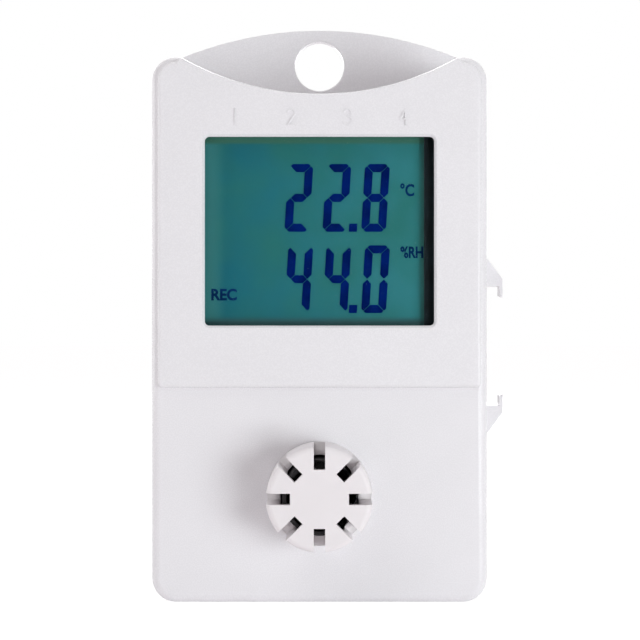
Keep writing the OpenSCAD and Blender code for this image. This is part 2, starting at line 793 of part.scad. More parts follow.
module buzzer() {
    x = -board_w / 2 + buzzer_r + part_gap;
    color("black") translate([x, 0, boss_high_z]) difference() {
        bar(buzzer_r, board_y - buzzer_h, board_y);
        bar(buzzer_hole_r, board_y - buzzer_h - overrun, board_y - buzzer_h / 2);
    }
}

module battery_cell() {
    low = holder_low_z + holder_t + contact_t + coil_h;
    color("darkolivegreen") translate([holder_x, cell_y, low]) {
        cylinder(r = cell_d / 2, h = cell_l);
        cylinder(r = button_r, h = cell_l + button_h);
    }
}

module battery_holder() {
    high = holder_low_z + cell_room + 2 * holder_t;
    color("dimgray") difference() {
        block([holder_x - holder_w / 2, board_back_y, holder_low_z],
            [holder_x + holder_w / 2, holder_wall_y, high]);
        block([holder_x - holder_w / 2 + holder_t, holder_floor_y, holder_low_z + holder_t],
            [holder_x + holder_w / 2 - holder_t, holder_wall_y + overrun, high - holder_t]);
    }
}

module battery_contacts() {
    low = holder_low_z + holder_t;
    color("silver") {
        for (z = [low, low + cell_room - contact_t])
            block([holder_x - coil_r, holder_floor_y, z],
                [holder_x + coil_r, holder_wall_y, z + contact_t]);
        // The coil at the cell's flat end stands as one closed ring
        translate([holder_x, cell_y, low + contact_t / 2]) difference() {
            cylinder(r = coil_r, h = coil_h + contact_t / 2);
            translate([0, 0, contact_t]) cylinder(r = coil_r - coil_wire, h = coil_h);
        }
    }
}

module sensor_plug() {
    w = sensor_w + 2 * plug_wall;
    h = sensor_t + 2 * plug_wall;
    color("black") difference() {
        block([-w / 2, plug_y, cap_z - h / 2], [w / 2, board_y, cap_z + h / 2]);
        block([-sensor_w / 2 - glue_gap, plug_y - overrun, cap_z - sensor_t / 2 - glue_gap],
            [sensor_w / 2 + glue_gap, plug_y + plug_depth, cap_z + sensor_t / 2 + glue_gap]);
    }
}

module sensor_board() {
    color("seagreen") block([-sensor_w / 2, sensor_tip_y, cap_z - sensor_t / 2],
        [sensor_w / 2, plug_y + plug_depth, cap_z + sensor_t / 2]);
}

module humidity_chip() {
    low_y = sensor_tip_y + chip_tip_gap;
    color("white") difference() {
        block([-chip_w / 2, low_y, cap_z + sensor_t / 2],
            [chip_w / 2, low_y + chip_w, cap_z + sensor_t / 2 + chip_t]);
        translate([0, low_y + chip_w / 2, cap_z + sensor_t / 2 + chip_t / 2])
            cylinder(r = chip_w / 4, h = chip_t);
    }
}

module temperature_bead() {
    color("orangered") translate([0, sensor_tip_y + chip_tip_gap, cap_z - sensor_t / 2 - bead_r])
        bar(bead_r, 0, bead_l);
}

// Cup behind the front wall: the cap's spigot screws into it
module sensor_socket() {
    slot = [sensor_w / 2 + glue_gap, sensor_t / 2 + glue_gap];
    color("black") translate([0, 0, cap_z]) difference() {
        bar(socket_r, base_y + wall, socket_floor_y + socket_t);
        bar(socket_bore_r, base_y + wall - overrun, socket_floor_y);
        block([-slot.x, socket_floor_y - overrun, -slot.y],
            [slot.x, socket_floor_y + socket_t + overrun, slot.y]);
    }
}

module cap_seal() {
    color("black") translate([0, 0, cap_z]) difference() {
        bar(seal_r - glue_gap, base_y - cap_lift, base_y + seal_sink);
        bar(socket_bore_r, base_y - cap_lift - overrun, base_y + seal_sink + overrun);
    }
}

module filter_sleeve() {
    color("dimgray") translate([0, 0, cap_z]) difference() {
        bar(sleeve_r, cap_face_y + cap_face_t, socket_floor_y);
        bar(sleeve_r - sleeve_t, cap_face_y + cap_face_t - overrun, socket_floor_y + overrun);
    }
}

module sensor_cap() {
    foot_y = base_y - cap_lift;
    rim = [for (k = [0:fillet_steps]) let (a = 90 * k / fillet_steps)
        [cap_r - cap_edge_r * (1 - cos(a)), -cap_face_y - cap_edge_r * (1 - sin(a))]];
    profile = concat([[spigot_r, -foot_y], [cap_r, -foot_y]], rim,
        [[0, -cap_face_y], [0, -cap_face_y - cap_face_t], [cap_bore_r, -cap_face_y - cap_face_t],
        [cap_bore_r, -base_y - spigot_l], [spigot_r, -base_y - spigot_l]]);
    color("whitesmoke") translate([0, 0, cap_z]) difference() {
        turned(profile);
        for (i = [0:slot_count - 1]) rotate([0, 360 * i / slot_count, 0])
            block([-slot_w / 2, cap_face_y - overrun, slot_start],
                [slot_w / 2, foot_y - cap_foot_t, cap_r + overrun]);
    }
}

// Upper half of the port plate with its hooked rail, in the front view, measured from the middle
module rail_profile() {
    inner = rail_gap / 2;
    outer = half_w + rail_out;
    polygon([[half_w - wall, 0], [half_w - plate_sink, 0], [half_w - plate_sink, inner],
        [outer - hook_lip_t, inner], [outer - hook_lip_t, inner - hook_lip + hook_lip_t / 2],
        [outer, inner - hook_lip], [outer, inner + hook_t], [half_w, inner + hook_root],
        [half_w, plate_h / 2 - glue_gap], [half_w - wall, plate_h / 2 - glue_gap]]);
}

module adapter_rails() {
    color("whitesmoke") translate([0, 0, rail_z]) difference() {
        for (side = [0, 1]) mirror([0, 0, side])
            prism(rail_front_y + glue_gap, rail_back_y - glue_gap) rail_profile();
        block([half_w, rail_front_y + hook_lip_l, -rail_gap / 2],
            [half_w + rail_out + overrun, rail_back_y + overrun, rail_gap / 2]);
        for (i = [0:pin_count - 1]) at_pin(i)
            cylinder(r = pin_r + glue_gap, h = 2 * (wall + overrun), center = true);
    }
}

// Place of each contact pin in the plate, with its axis along X
module at_pin(i) {
    translate([half_w - wall, rail_middle_y, (i - (pin_count - 1) / 2) * pin_pitch])
        rotate([0, 90, 0]) children();
}

module port_contacts() {
    color("gold") translate([0, 0, rail_z]) for (i = [0:pin_count - 1]) at_pin(i)
        cylinder(r = pin_r, h = wall - plate_sink + pin_out);
}

module port_socket() {
    color("black") block([half_w - wall - port_w, board_back_y, rail_z - port_h / 2],
        [half_w - wall, rail_middle_y + port_d / 2, rail_z + port_h / 2]);
}

front_shell();
rear_cover();
case_seal();
back_label();
cover_screws();
screw_inserts();
display_lens();
display_gasket();
lcd_glass();
lcd_digits();
lcd_reflector();
lcd_frame();
contact_strips();
main_board();
board_screws();
microcontroller();
memory_chip();
clock_crystal();
capacitors();
reed_switch();
buzzer();
battery_cell();
battery_holder();
battery_contacts();
sensor_plug();
sensor_board();
humidity_chip();
temperature_bead();
sensor_socket();
cap_seal();
filter_sleeve();
sensor_cap();
adapter_rails();
port_contacts();
port_socket();
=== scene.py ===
# %% [markdown]
# # A temperature data logger, dressed
# The logger is a white two-part case. Its raised upper field frames a teal segment display, a slotted
# cap on the lower front lets air reach the sensor, and a domed tab with a hole hangs it on the wall.
#
# The CAD model already has every piece at its real size and place. This file gives the pieces their
# finish, rounds the edges that the light catches, and adds what is too fine for the CAD model. All
# lengths are in metres, the front faces -Y and +Z is up.

# %% Load the frame
import json
import math

import bmesh
import bpy
from mathutils import Matrix, Vector


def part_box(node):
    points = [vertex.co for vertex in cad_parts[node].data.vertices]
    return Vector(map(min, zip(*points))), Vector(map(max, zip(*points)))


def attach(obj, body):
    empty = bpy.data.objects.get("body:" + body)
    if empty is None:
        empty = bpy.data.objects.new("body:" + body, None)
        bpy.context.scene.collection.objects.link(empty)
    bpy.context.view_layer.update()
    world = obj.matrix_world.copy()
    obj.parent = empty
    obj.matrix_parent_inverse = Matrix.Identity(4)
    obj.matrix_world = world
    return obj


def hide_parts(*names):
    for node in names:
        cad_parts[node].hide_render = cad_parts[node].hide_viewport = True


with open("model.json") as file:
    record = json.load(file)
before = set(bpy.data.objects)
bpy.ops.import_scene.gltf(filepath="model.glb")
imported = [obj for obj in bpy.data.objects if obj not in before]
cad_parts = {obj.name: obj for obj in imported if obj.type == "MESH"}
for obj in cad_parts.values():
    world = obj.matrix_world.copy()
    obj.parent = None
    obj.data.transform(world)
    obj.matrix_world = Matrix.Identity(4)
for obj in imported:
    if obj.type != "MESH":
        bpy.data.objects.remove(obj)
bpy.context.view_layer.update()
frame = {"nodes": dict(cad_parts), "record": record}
MM = 0.001

# %% [markdown]
# ## Camera
# The photograph is taken straight on, from about 30 cm, level with the lower edge of the display.
# The distance matters more than the lens: it decides how much smaller the hanging tab, which lies
# 26 mm behind the front, looks beside the display. So the distance is set first, and the lens only
# fills the frame.

# %% Place the camera
CAMERA_PLACE = Vector((0.1, -314.5, 50.5)) * MM
CAMERA_LENS = 95.06
SENSOR_WIDTH = 36

camera_data = bpy.data.cameras.new("camera")
camera_data.lens = CAMERA_LENS
camera_data.sensor_width = SENSOR_WIDTH
camera = bpy.data.objects.new("camera", camera_data)
camera.location = CAMERA_PLACE
camera.rotation_euler = (math.radians(90), 0, 0)
bpy.context.scene.collection.objects.link(camera)
bpy.context.scene.camera = camera

# %% [markdown]
# ## Colours and node helpers
# A colour that is read off a picture is in sRGB, while a shader works in linear light, so one helper
# converts it. The other helpers each add one step of a material: a noise of a known size in
# millimetres, a value or a colour that follows it, and a bump. They read Object coordinates, which
# are real distances here, so a grain of 0.2 mm stays 0.2 mm on every piece.

# %% Define a colour and a material


def srgb(red, green, blue):
    """An 8-bit colour as linear light, with full alpha."""
    shares = [value / 255 for value in (red, green, blue)]
    linear = [s / 12.92 if s <= 0.04045 else ((s + 0.055) / 1.055) ** 2.4 for s in shares]
    return (*linear, 1)


def shade(colour, share):
    """The same colour, darker or lighter."""
    return (*[min(value * share, 1) for value in colour[:3]], 1)


def new_material(name):
    """A material with its node tree and its shader."""
    material = bpy.data.materials.new(name)
    material.use_nodes = True
    return material, material.node_tree, material.node_tree.nodes["Principled BSDF"]


# %% Read the place on a piece


def place(tree):
    """The point on the piece, in metres."""
    return tree.nodes.new("ShaderNodeTexCoord").outputs["Object"]


def along(tree, axis):
    """How far along x, y or z the point lies."""
    split = tree.nodes.new("ShaderNodeSeparateXYZ")
    tree.links.new(place(tree), split.inputs[0])
    return split.outputs[axis]


def noise(tree, size, detail=2, stretch=(1, 1, 1)):
    """Soft blotches about size across, from 0 to 1."""
    mapping = tree.nodes.new("ShaderNodeMapping")
    mapping.inputs["Scale"].default_value = stretch
    texture = tree.nodes.new("ShaderNodeTexNoise")
    texture.inputs["Scale"].default_value = 1 / size
    texture.inputs["Detail"].default_value = detail
    tree.links.new(place(tree), mapping.inputs["Vector"])
    tree.links.new(mapping.outputs["Vector"], texture.inputs["Vector"])
    return texture.outputs["Fac"]


# %% Work with numbers and colours
COLOUR_A, COLOUR_B, COLOUR_RESULT = 6, 7, 2  # places of a Mix node's colour sockets


def remap(tree, source, old, new, smooth=False):
    """Source taken from the range old to the range new, and held there."""
    node = tree.nodes.new("ShaderNodeMapRange")
    node.interpolation_type = "SMOOTHSTEP" if smooth else "LINEAR"
    node.inputs["From Min"].default_value, node.inputs["From Max"].default_value = old
    node.inputs["To Min"].default_value, node.inputs["To Max"].default_value = new
    tree.links.new(source, node.inputs["Value"])
    return node.outputs["Result"]


def calculate(tree, operation, first, second):
    """First and second, each a number or an output, taken together by a Math node."""
    node = tree.nodes.new("ShaderNodeMath")
    node.operation = operation
    for socket, value in zip(node.inputs, (first, second)):
        if isinstance(value, bpy.types.NodeSocket):
            tree.links.new(value, socket)
        else:
            socket.default_value = value
    return node.outputs[0]


def blend_colours(tree, share, first, second):
    """First where share is 0 and second where it is 1. Each is a colour or another node's output."""
    node = tree.nodes.new("ShaderNodeMix")
    node.data_type = "RGBA"
    tree.links.new(share, node.inputs["Factor"])
    for slot, colour in ((COLOUR_A, first), (COLOUR_B, second)):
        if isinstance(colour, bpy.types.NodeSocket):
            tree.links.new(colour, node.inputs[slot])
        else:
            node.inputs[slot].default_value = colour
    return node.outputs[COLOUR_RESULT]


# %% Finish a surface
NOISE_SPAN = (0.3, 0.7)  # where most of a noise's values lie


def bump(tree, shader, height, depth):
    """Lets height stand out of the surface by depth."""
    node = tree.nodes.new("ShaderNodeBump")
    node.inputs["Distance"].default_value = depth
    tree.links.new(height, node.inputs["Height"])
    tree.links.new(node.outputs["Normal"], shader.inputs["Normal"])


def finish_surface(tree, shader, patches, first, second, grain, gloss, depth):
    """Colour that goes from first to second with patches, over a grain that changes gloss and bump."""
    tree.links.new(blend_colours(tree, patches, first, second), shader.inputs["Base Color"])
    tree.links.new(remap(tree, grain, NOISE_SPAN, gloss), shader.inputs["Roughness"])
    bump(tree, shader, grain, depth)


# %% [markdown]
# ## Moulded plastic
# The case is moulded in a tool whose walls are finely eroded, which leaves a satin skin: a grain of
# about 0.2 mm under a gloss that is not quite even, and broad, faint patches from the melt. A single
# grey value would look like paint, so a fine noise drives bump and roughness, and a broad one drives
# the colour. The cap and every other moulded piece use the same recipe with other numbers.
#
# In the corner below the display field the photograph shows a soft grey band. It is painted shade in
# the plastic's colour: it follows the height and stays on the front, so it is the same in any light.

# %% A recipe for moulded plastic
MELT_PATCH = 9 * MM


def moulded(name, colour, grain=0.2 * MM, depth=0.0009 * MM, gloss=(0.23, 0.31), mottle=0.985):
    """Satin plastic with a moulding grain."""
    material, tree, shader = new_material(name)
    patches = remap(tree, noise(tree, MELT_PATCH, 3), NOISE_SPAN, (0, 1), smooth=True)
    fine = noise(tree, grain, 3)
    finish_surface(tree, shader, patches, shade(colour, mottle), colour, fine, gloss, depth)
    return material


# %% Make the moulded plastics
CASE_WHITE = srgb(232, 230, 233)
CAP_WHITE = srgb(234, 229, 231)
FIELD_FOOT = 38.4 * MM  # height of the corner below the display field
CORNER_SHADE_REACH = 0.85 * MM  # from the middle of the painted shade to where it ends
CORNER_SHADE_SHARE = 0.91  # how light the painted shade's middle is, of the case's white
FRONT_DEPTH = 1.3 * MM  # behind the numerals' faces, where the painted shade starts to fade
FRONT_FADE = 0.5 * MM  # from there to where it is gone


def paint_corner_shade(material):
    """Adds painted shade across the front as a soft grey band, darkest in the corner below the display
    field.
    """
    tree = material.node_tree
    base = tree.nodes["Principled BSDF"].inputs["Base Color"]
    z, front = along(tree, "Z"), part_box("front_shell")[0].y + FRONT_DEPTH
    rising = remap(tree, z, (FIELD_FOOT - CORNER_SHADE_REACH, FIELD_FOOT), (0, 1), smooth=True)
    falling = remap(tree, z, (FIELD_FOOT, FIELD_FOOT + CORNER_SHADE_REACH), (1, 0), smooth=True)
    at_front = remap(tree, along(tree, "Y"), (front, front + FRONT_FADE), (1, 0), smooth=True)
    # Painted shade: a band that is strongest at the field's foot and lies only on the front.
    painted_shade = calculate(tree, "MULTIPLY", calculate(tree, "MULTIPLY", rising, falling), at_front)
    grey = blend_colours(tree, painted_shade, base.links[0].from_socket, shade(CASE_WHITE, CORNER_SHADE_SHARE))
    tree.links.new(grey, base)


case_plastic = moulded("case_plastic", CASE_WHITE)
# Paints shade into the case's colour in the corner below the display field.
paint_corner_shade(case_plastic)
cap_plastic = moulded("cap_plastic", CAP_WHITE, grain=0.15 * MM, gloss=(0.32, 0.42))
socket_plastic = moulded("socket_plastic", srgb(26, 24, 26), gloss=(0.35, 0.5), mottle=0.8)
print("moulded plastics made")

# %% [markdown]
# ## Display finishes
# A display cell is a sandwich: a polariser film over glass, with a light guide behind. The photograph
# shows teal that goes from deeper at the left to brighter at the right and a greener strip along the
# top, so the film's colour follows the place on the cell. Its colour also holds painted light in a
# paler strip at the left end, and painted shade in a duller strip at the right end and a greyer band
# at the foot, where the window's frame shades the cell. The pane in front is coated: a stronger mirror
# image of the white ground would only lie over the display as a veil, and it makes the render speckle.

# %% Measure the display
PANE_LAP = 1.95 * MM  # how far the pane reaches behind the window's frame

cell_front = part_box("lcd_glass")[0].y
pane_low, pane_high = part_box("display_lens")
window_low = pane_low + Vector((PANE_LAP, 0, PANE_LAP))
window_high = pane_high - Vector((PANE_LAP, 0, PANE_LAP))
print("window is", [round(v / MM, 2) for v in (window_high - window_low).xz], "mm")

# %% Tint the film
TEAL_LEFT = srgb(26, 99, 113)
TEAL_RIGHT = srgb(52, 125, 129)
TEAL_CLOUD = srgb(41, 109, 102)
# Painted light at the left end, the film's own green at the top, painted shade at the right end and the
# foot
PAINTED_SIDE_LIGHT = srgb(60, 128, 128)
FILM_TOP = srgb(62, 109, 91)
PAINTED_END_SHADE = srgb(62, 116, 110)
PAINTED_FOOT_SHADE = srgb(60, 92, 94)
CLOUD_SIZE = 12 * MM
SHADE_BAND_WIDTH = 1.65 * MM  # of the dark foam that shows at the window's right end, where it stands in for the frame's shade
SIDE_LIGHT_FADE = (0.6 * MM, 4 * MM)  # from the window's left end, where the strip of painted light fades out
END_SHADE_FADE = 1.2 * MM  # from where the painted shade at the right end fades in to the film's end
TOP_FADE = (1.3 * MM, 0.6 * MM)  # below the window's top, where the green strip fades in
FOOT_SHADE_FADE = (0.3 * MM, 1.9 * MM)  # above the window's foot, where the band of painted shade fades out
FILM_GRAIN = 0.3 * MM
FILM_GRAIN_DEPTH = 0.0005 * MM


def display_film():
    """Teal polariser over the display cell, tinted from side to side and towards its edges: its own
    green along the top, painted light at the left end and painted shade at the right end and the foot.
    """
    material, tree, shader = new_material("display_film")
    x, z = along(tree, "X"), along(tree, "Z")
    cloud = noise(tree, CLOUD_SIZE)
    side = remap(tree, x, (window_low.x, window_high.x), (0, 1))
    teal = blend_colours(tree, side, TEAL_LEFT, TEAL_RIGHT)
    mottled = blend_colours(tree, remap(tree, cloud, (0.4, 0.65), (0, 0.7)), teal, TEAL_CLOUD)
    film_end = window_high.x - SHADE_BAND_WIDTH
    # Each is a way, a span, the shares and a colour. The left end holds painted light, and the right end
    # and foot hold painted shade.
    fades = [
        (x, [window_low.x + fade for fade in SIDE_LIGHT_FADE], (0.95, 0), PAINTED_SIDE_LIGHT),
        (x, [film_end - END_SHADE_FADE, film_end], (0, 0.8), PAINTED_END_SHADE),
        (z, [window_high.z - fade for fade in TOP_FADE], (0, 0.9), FILM_TOP),
        (z, [window_low.z + fade for fade in FOOT_SHADE_FADE], (0.95, 0), PAINTED_FOOT_SHADE),
    ]
    coloured = mottled
    for way, span, shares, colour in fades:
        coloured = blend_colours(tree, remap(tree, way, span, shares, True), coloured, colour)
    tree.links.new(coloured, shader.inputs["Base Color"])
    tree.links.new(remap(tree, cloud, NOISE_SPAN, (0.3, 0.4)), shader.inputs["Roughness"])
    shader.inputs["Specular IOR Level"].default_value = 0.05
    bump(tree, shader, noise(tree, FILM_GRAIN), FILM_GRAIN_DEPTH)
    return material


film = display_film()

# %% Make the ink and the pane
INK_PATCH = 3 * MM
PANE_INDEX = 1.03
PANE_WAVES = 6 * MM


def display_ink(name, colour):
    """Dark liquid crystal of a switched-on segment, a little uneven. It has no gloss of its own."""
    material, tree, shader = new_material(name)
    patch = remap(tree, noise(tree, INK_PATCH), (0.35, 0.65), (0, 1), smooth=True)
    uneven = blend_colours(tree, patch, colour, shade(colour, 1.5))
    tree.links.new(uneven, shader.inputs["Base Color"])
    shader.inputs["Roughness"].default_value = 0.6
    shader.inputs["Specular IOR Level"].default_value = 0
    return material


def clear_pane():
    """Coated acrylic that mirrors almost nothing. Lamps shine through it, as through thin air."""
    material, tree, shader = new_material("clear_pane")
    shader.inputs["Base Color"].default_value = (1, 1, 1, 1)
    shader.inputs["Transmission Weight"].default_value = 1
    shader.inputs["IOR"].default_value = PANE_INDEX
    haze = remap(tree, noise(tree, PANE_WAVES), NOISE_SPAN, (0.01, 0.03))
    tree.links.new(haze, shader.inputs["Roughness"])
    path = tree.nodes.new("ShaderNodeLightPath")
    open_air = tree.nodes.new("ShaderNodeBsdfTransparent")
    surface = shader.outputs[0]
    for kind in ("Is Shadow Ray", "Is Diffuse Ray"):
        mix = tree.nodes.new("ShaderNodeMixShader")
        tree.links.new(path.outputs[kind], mix.inputs[0])
        tree.links.new(surface, mix.inputs[1])
        tree.links.new(open_air.outputs[0], mix.inputs[2])
        surface = mix.outputs[0]
    tree.links.new(surface, tree.nodes["Material Output"].inputs["Surface"])
    return material


ink = display_ink("display_ink", srgb(2, 24, 84))
small_ink = display_ink("display_ink_small", srgb(8, 40, 80))
pane = clear_pane()
print("display finishes made")

# %% [markdown]
# ## Rubber, foam, metal and electronics
# Nothing here shows much in the photograph, but the cover can be lifted off, so the inside gets real
# finishes too. Rubber and foam are pitted and have a dusty bloom, plated and turned metals carry fine
# brush lines and a little tarnish, and a circuit board is green lacquer over copper.

# %% Recipes for rubber and metal
PIT_SIZE = 0.25 * MM
PIT_DEPTH = 0.02 * MM
BLOOM_SIZE = 4 * MM
BRUSH_LINE = 0.6 * MM
BRUSH_DEPTH = 0.004 * MM
TARNISH_SIZE = 2.5 * MM


def rubber(name, colour, gloss=(0.6, 0.8)):
    """Rubber or foam with a fine pitted skin and a lighter bloom."""
    material, tree, shader = new_material(name)
    bloom = remap(tree, noise(tree, BLOOM_SIZE), (0.35, 0.7), (0, 1), smooth=True)
    pits = noise(tree, PIT_SIZE, 4)
    finish_surface(tree, shader, bloom, colour, shade(colour, 1.6), pits, gloss, PIT_DEPTH)
    return material


def metal(name, colour, gloss=(0.22, 0.38), brushed=(1, 1, 14)):
    """Plated or turned metal. Brushed is how much finer its grain is along x, y and z."""
    material, tree, shader = new_material(name)
    tarnish = remap(tree, noise(tree, TARNISH_SIZE, 3), (0.4, 0.7), (0, 1), smooth=True)
    lines = noise(tree, BRUSH_LINE, 4, brushed)
    finish_surface(tree, shader, tarnish, colour, shade(colour, 0.8), lines, gloss, BRUSH_DEPTH)
    shader.inputs["Metallic"].default_value = 1
    return material


# %% Make the other finishes
seal_rubber = rubber("seal_rubber", srgb(60, 60, 60))
# The gasket's dark foam shows as a band at the window's right end, a dark sheet standing in for the
# frame's shade.
foam = rubber("foam_black", srgb(6, 24, 29), (0.8, 0.95))
contact_rubber = rubber("contact_rubber", srgb(190, 120, 130))
zinc = metal("screw_steel", srgb(196, 198, 200))
nickel = metal("can_steel", srgb(205, 203, 198), (0.15, 0.3), (14, 1, 1))
brass = metal("insert_brass", srgb(214, 178, 96), (0.2, 0.35))
gold = metal("contact_gold", srgb(236, 196, 110), (0.12, 0.22))
light_guide = moulded("light_guide", srgb(236, 238, 238), gloss=(0.3, 0.4))
frame_plastic = moulded("frame_plastic", srgb(222, 218, 206))
holder_plastic = moulded("holder_plastic", srgb(44, 44, 46), mottle=0.8)
chip_black = moulded("chip_black", srgb(32, 32, 34), grain=0.1 * MM, gloss=(0.55, 0.7), mottle=0.8)
capacitor_tan = moulded("capacitor_tan", srgb(186, 156, 120), grain=0.1 * MM, mottle=0.9)
filter_dark = rubber("filter_dark", srgb(22, 20, 22), (0.75, 0.9))
label_film = moulded("label_film", srgb(214, 214, 216), grain=0.4 * MM, gloss=(0.3, 0.42))
bead_glass = moulded("bead_glass", srgb(176, 84, 40), gloss=(0.08, 0.2), mottle=0.7)
reed_glass = moulded("reed_glass", srgb(150, 190, 165), gloss=(0.05, 0.15), mottle=0.8)
cell_sleeve = moulded("cell_sleeve", srgb(60, 96, 66), gloss=(0.2, 0.3), mottle=0.92)
board_lacquer = moulded("board_lacquer", srgb(22, 92, 52), grain=0.5 * MM, gloss=(0.25, 0.35))
print("other finishes made")

# %% [markdown]
# ## Smooth moulded pieces
# A CAD mesh is loose triangles, so its rounded edges would show as narrow flat strips. A copy is
# joined at its shared corners and shaded smoothly, except across real edges. Weighted normals then
# let the large flat faces stay flat, so that all the turning is seen in the fillets. The shape itself
# stays the CAD model's.

# %% Shade and settle a piece
SHARP_ANGLE = math.radians(32)


def smooth_shading(mesh):
    """Smooth shading that keeps the sharp edges."""
    mesh.polygons.foreach_set("use_smooth", [True] * len(mesh.polygons))
    mesh.set_sharp_from_angle(angle=SHARP_ANGLE)


def new_object(name, mesh):
    """An object in the scene, at the origin."""
    made = bpy.data.objects.new(name, mesh)
    bpy.context.scene.collection.objects.link(made)
    return made


def settled(working, name):
    """The object with its modifiers applied, as a plain mesh object under a new name."""
    graph = bpy.context.evaluated_depsgraph_get()
    mesh = bpy.data.meshes.new_from_object(working.evaluated_get(graph), depsgraph=graph)
    bpy.data.objects.remove(working)
    return new_object(name, mesh)


def weigh_normals(working):
    """Lets large faces decide the shading of the corners that they share."""
    weighted = working.modifiers.new("weighted", "WEIGHTED_NORMAL")
    weighted.keep_sharp = True
    weighted.weight = 100


# %% Edit a copy of a CAD mesh
WELD = 0.0002 * MM  # corners closer than this are one
SAME_PLANE = math.radians(0.5)  # faces that turn less than this are made one


def joined_shape(node):
    """A CAD node's mesh, open for editing, with shared corners merged and flat faces made whole."""
    shape = bmesh.new()
    shape.from_mesh(frame["nodes"][node].data)
    bmesh.ops.remove_doubles(shape, verts=shape.verts, dist=WELD)
    bmesh.ops.dissolve_limit(shape, angle_limit=SAME_PLANE, verts=shape.verts, edges=shape.edges)
    return shape


def finished_mesh(shape, name):
    """A mesh from an edited shape."""
    mesh = bpy.data.meshes.new(name)
    shape.to_mesh(mesh)
    shape.free()
    return mesh


def break_edges(shape, width, chosen, steps=3):
    """Rounds the edges that chosen picks."""
    picked = [edge for edge in shape.edges if edge.is_manifold and chosen(edge)]
    bmesh.ops.bevel(shape, geom=picked, offset=width, segments=steps, profile=0.5,
                    affect="EDGES", clamp_overlap=True)
    return len(picked)


# %% Dress a piece


def body_of(node):
    """The name of the body that a CAD node belongs to."""
    bodies = frame["record"]["behaviour"]["bodies"]
    return next(body for body, members in bodies.items() if node in members)


def dress(piece, material, node, replace=True):
    """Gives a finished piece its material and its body."""
    piece.data.materials.clear()
    piece.data.materials.append(material)
    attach(piece, body_of(node))
    if replace:
        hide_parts(node)
    return piece


def moulding(node, material, *roundings):
    """A smoothly shaded copy of a CAD node. A rounding is a width and the rule that picks its edges."""
    shape = joined_shape(node)
    rounded = [break_edges(shape, width, chosen) for width, chosen in roundings]
    working = new_object(node + "_working", finished_mesh(shape, node + "_joined"))
    smooth_shading(working.data)
    weigh_normals(working)
    piece = settled(working, node + "_moulding")
    print(piece.name, len(piece.data.polygons), "faces,", rounded, "edges rounded")
    return dress(piece, material, node)


# %% [markdown]
# ## The case
# Front shell, rear cover and adapter rails are large mouldings whose shape is complete in the CAD
# model, down to the fillets of the display field and the raised numerals. The shell only needs the
# smooth copy and the plastic. On the cover, the front edge of the hanging tab and of its hole gets
# the soft rounding that shows as a pale rim along the dome. The rails' sharp edges are broken.

# %% Measure the tab
hole = next(m for m in frame["record"]["mounts"] if m["name"] == "hanging_hole")
hole_centre = Vector(hole["pos_m"])
hole_radius = hole["dims"]["r_mm"] * MM
horn_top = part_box("front_shell")[1].z
tab_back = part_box("rear_cover")[1].y
tab_front = tab_back - hole["dims"]["length_mm"] * MM
print("tab is", round((tab_back - tab_front) / MM, 2), "mm thick")

# %% Choose the edges to round
NEARLY = 0.01 * MM  # how far a corner may lie off the face or circle that it belongs to
SHOULDER_DROP = 0.5 * MM  # from the horns' tops to where the dome's rounding starts
SQUARE_EDGE = math.radians(60)  # an edge of the tab that turns more than this is square
RAIL_EDGE = math.radians(35)  # an edge of the rails that turns more than this is sharp


def on_tab_front(edge):
    """Whether an edge lies in the tab's front face and is square."""
    return edge.calc_face_angle() > SQUARE_EDGE and all(
        abs(v.co.y - tab_front) < NEARLY for v in edge.verts)


def from_hole(edge):
    """How far the nearer end of an edge lies outside the hole's own circle, in the front view."""
    return min((v.co - hole_centre).xz.length for v in edge.verts) - hole_radius


def on_dome(edge):
    """Whether an edge is the dome's front edge, above the horns."""
    return on_tab_front(edge) and from_hole(edge) > WELD and all(
        v.co.z > horn_top - SHOULDER_DROP for v in edge.verts)


def on_hole(edge):
    """Whether an edge is the hole's front edge."""
    return on_tab_front(edge) and abs(from_hole(edge)) < NEARLY


def is_sharp(edge):
    """Whether two faces meet at an edge sharply enough to break it."""
    return edge.calc_face_angle() > RAIL_EDGE


# %% Dress the case
TAB_ROUNDING = 0.8 * MM
HOLE_ROUNDING = 0.3 * MM
RAIL_ROUNDING = 0.18 * MM

moulding("front_shell", case_plastic)
moulding("rear_cover", case_plastic, (TAB_ROUNDING, on_dome), (HOLE_ROUNDING, on_hole))
moulding("adapter_rails", case_plastic, (RAIL_ROUNDING, is_sharp))

# %% [markdown]
# ## The sensor cap
# The cap is a turned body with eight slots milled through its face and its side. The turned body
# follows from a profile. The slots repeat, so Geometry Nodes cut them: a cutter block is placed once,
# turned about the axis as often as there are slots, and subtracted. A small bevel then breaks the
# slots' edges, which is where the photograph shows thin bright lines. A second tree winds the thread
# round the spigot behind the cap. Its pitch is what the cap travels in one turn, so it looks right
# when the cap is unscrewed.

# %% A turned body


def turned(name, profile, centre, steps=128):
    """Closed body of revolution about a Y axis, from (radius, depth) points. Its two ends are flat."""
    shape = bmesh.new()
    angles = [2 * math.pi * i / steps for i in range(steps)]
    rings = [[shape.verts.new(centre + Vector((r * math.cos(a), depth, r * math.sin(a))))
              for a in angles] for r, depth in profile]
    for first, second in zip(rings, rings[1:]):
        for i in range(steps):
            j = (i + 1) % steps
            shape.faces.new((first[i], first[j], second[j], second[i]))
    shape.faces.new(rings[0])
    shape.faces.new(rings[-1])
    bmesh.ops.recalc_face_normals(shape, faces=shape.faces)
    return finished_mesh(shape, name)


# %% Build and use a node tree
SOCKET_KINDS = {int: "NodeSocketInt", float: "NodeSocketFloat", Vector: "NodeSocketVector",
                bpy.types.Material: "NodeSocketMaterial", bpy.types.Object: "NodeSocketObject"}


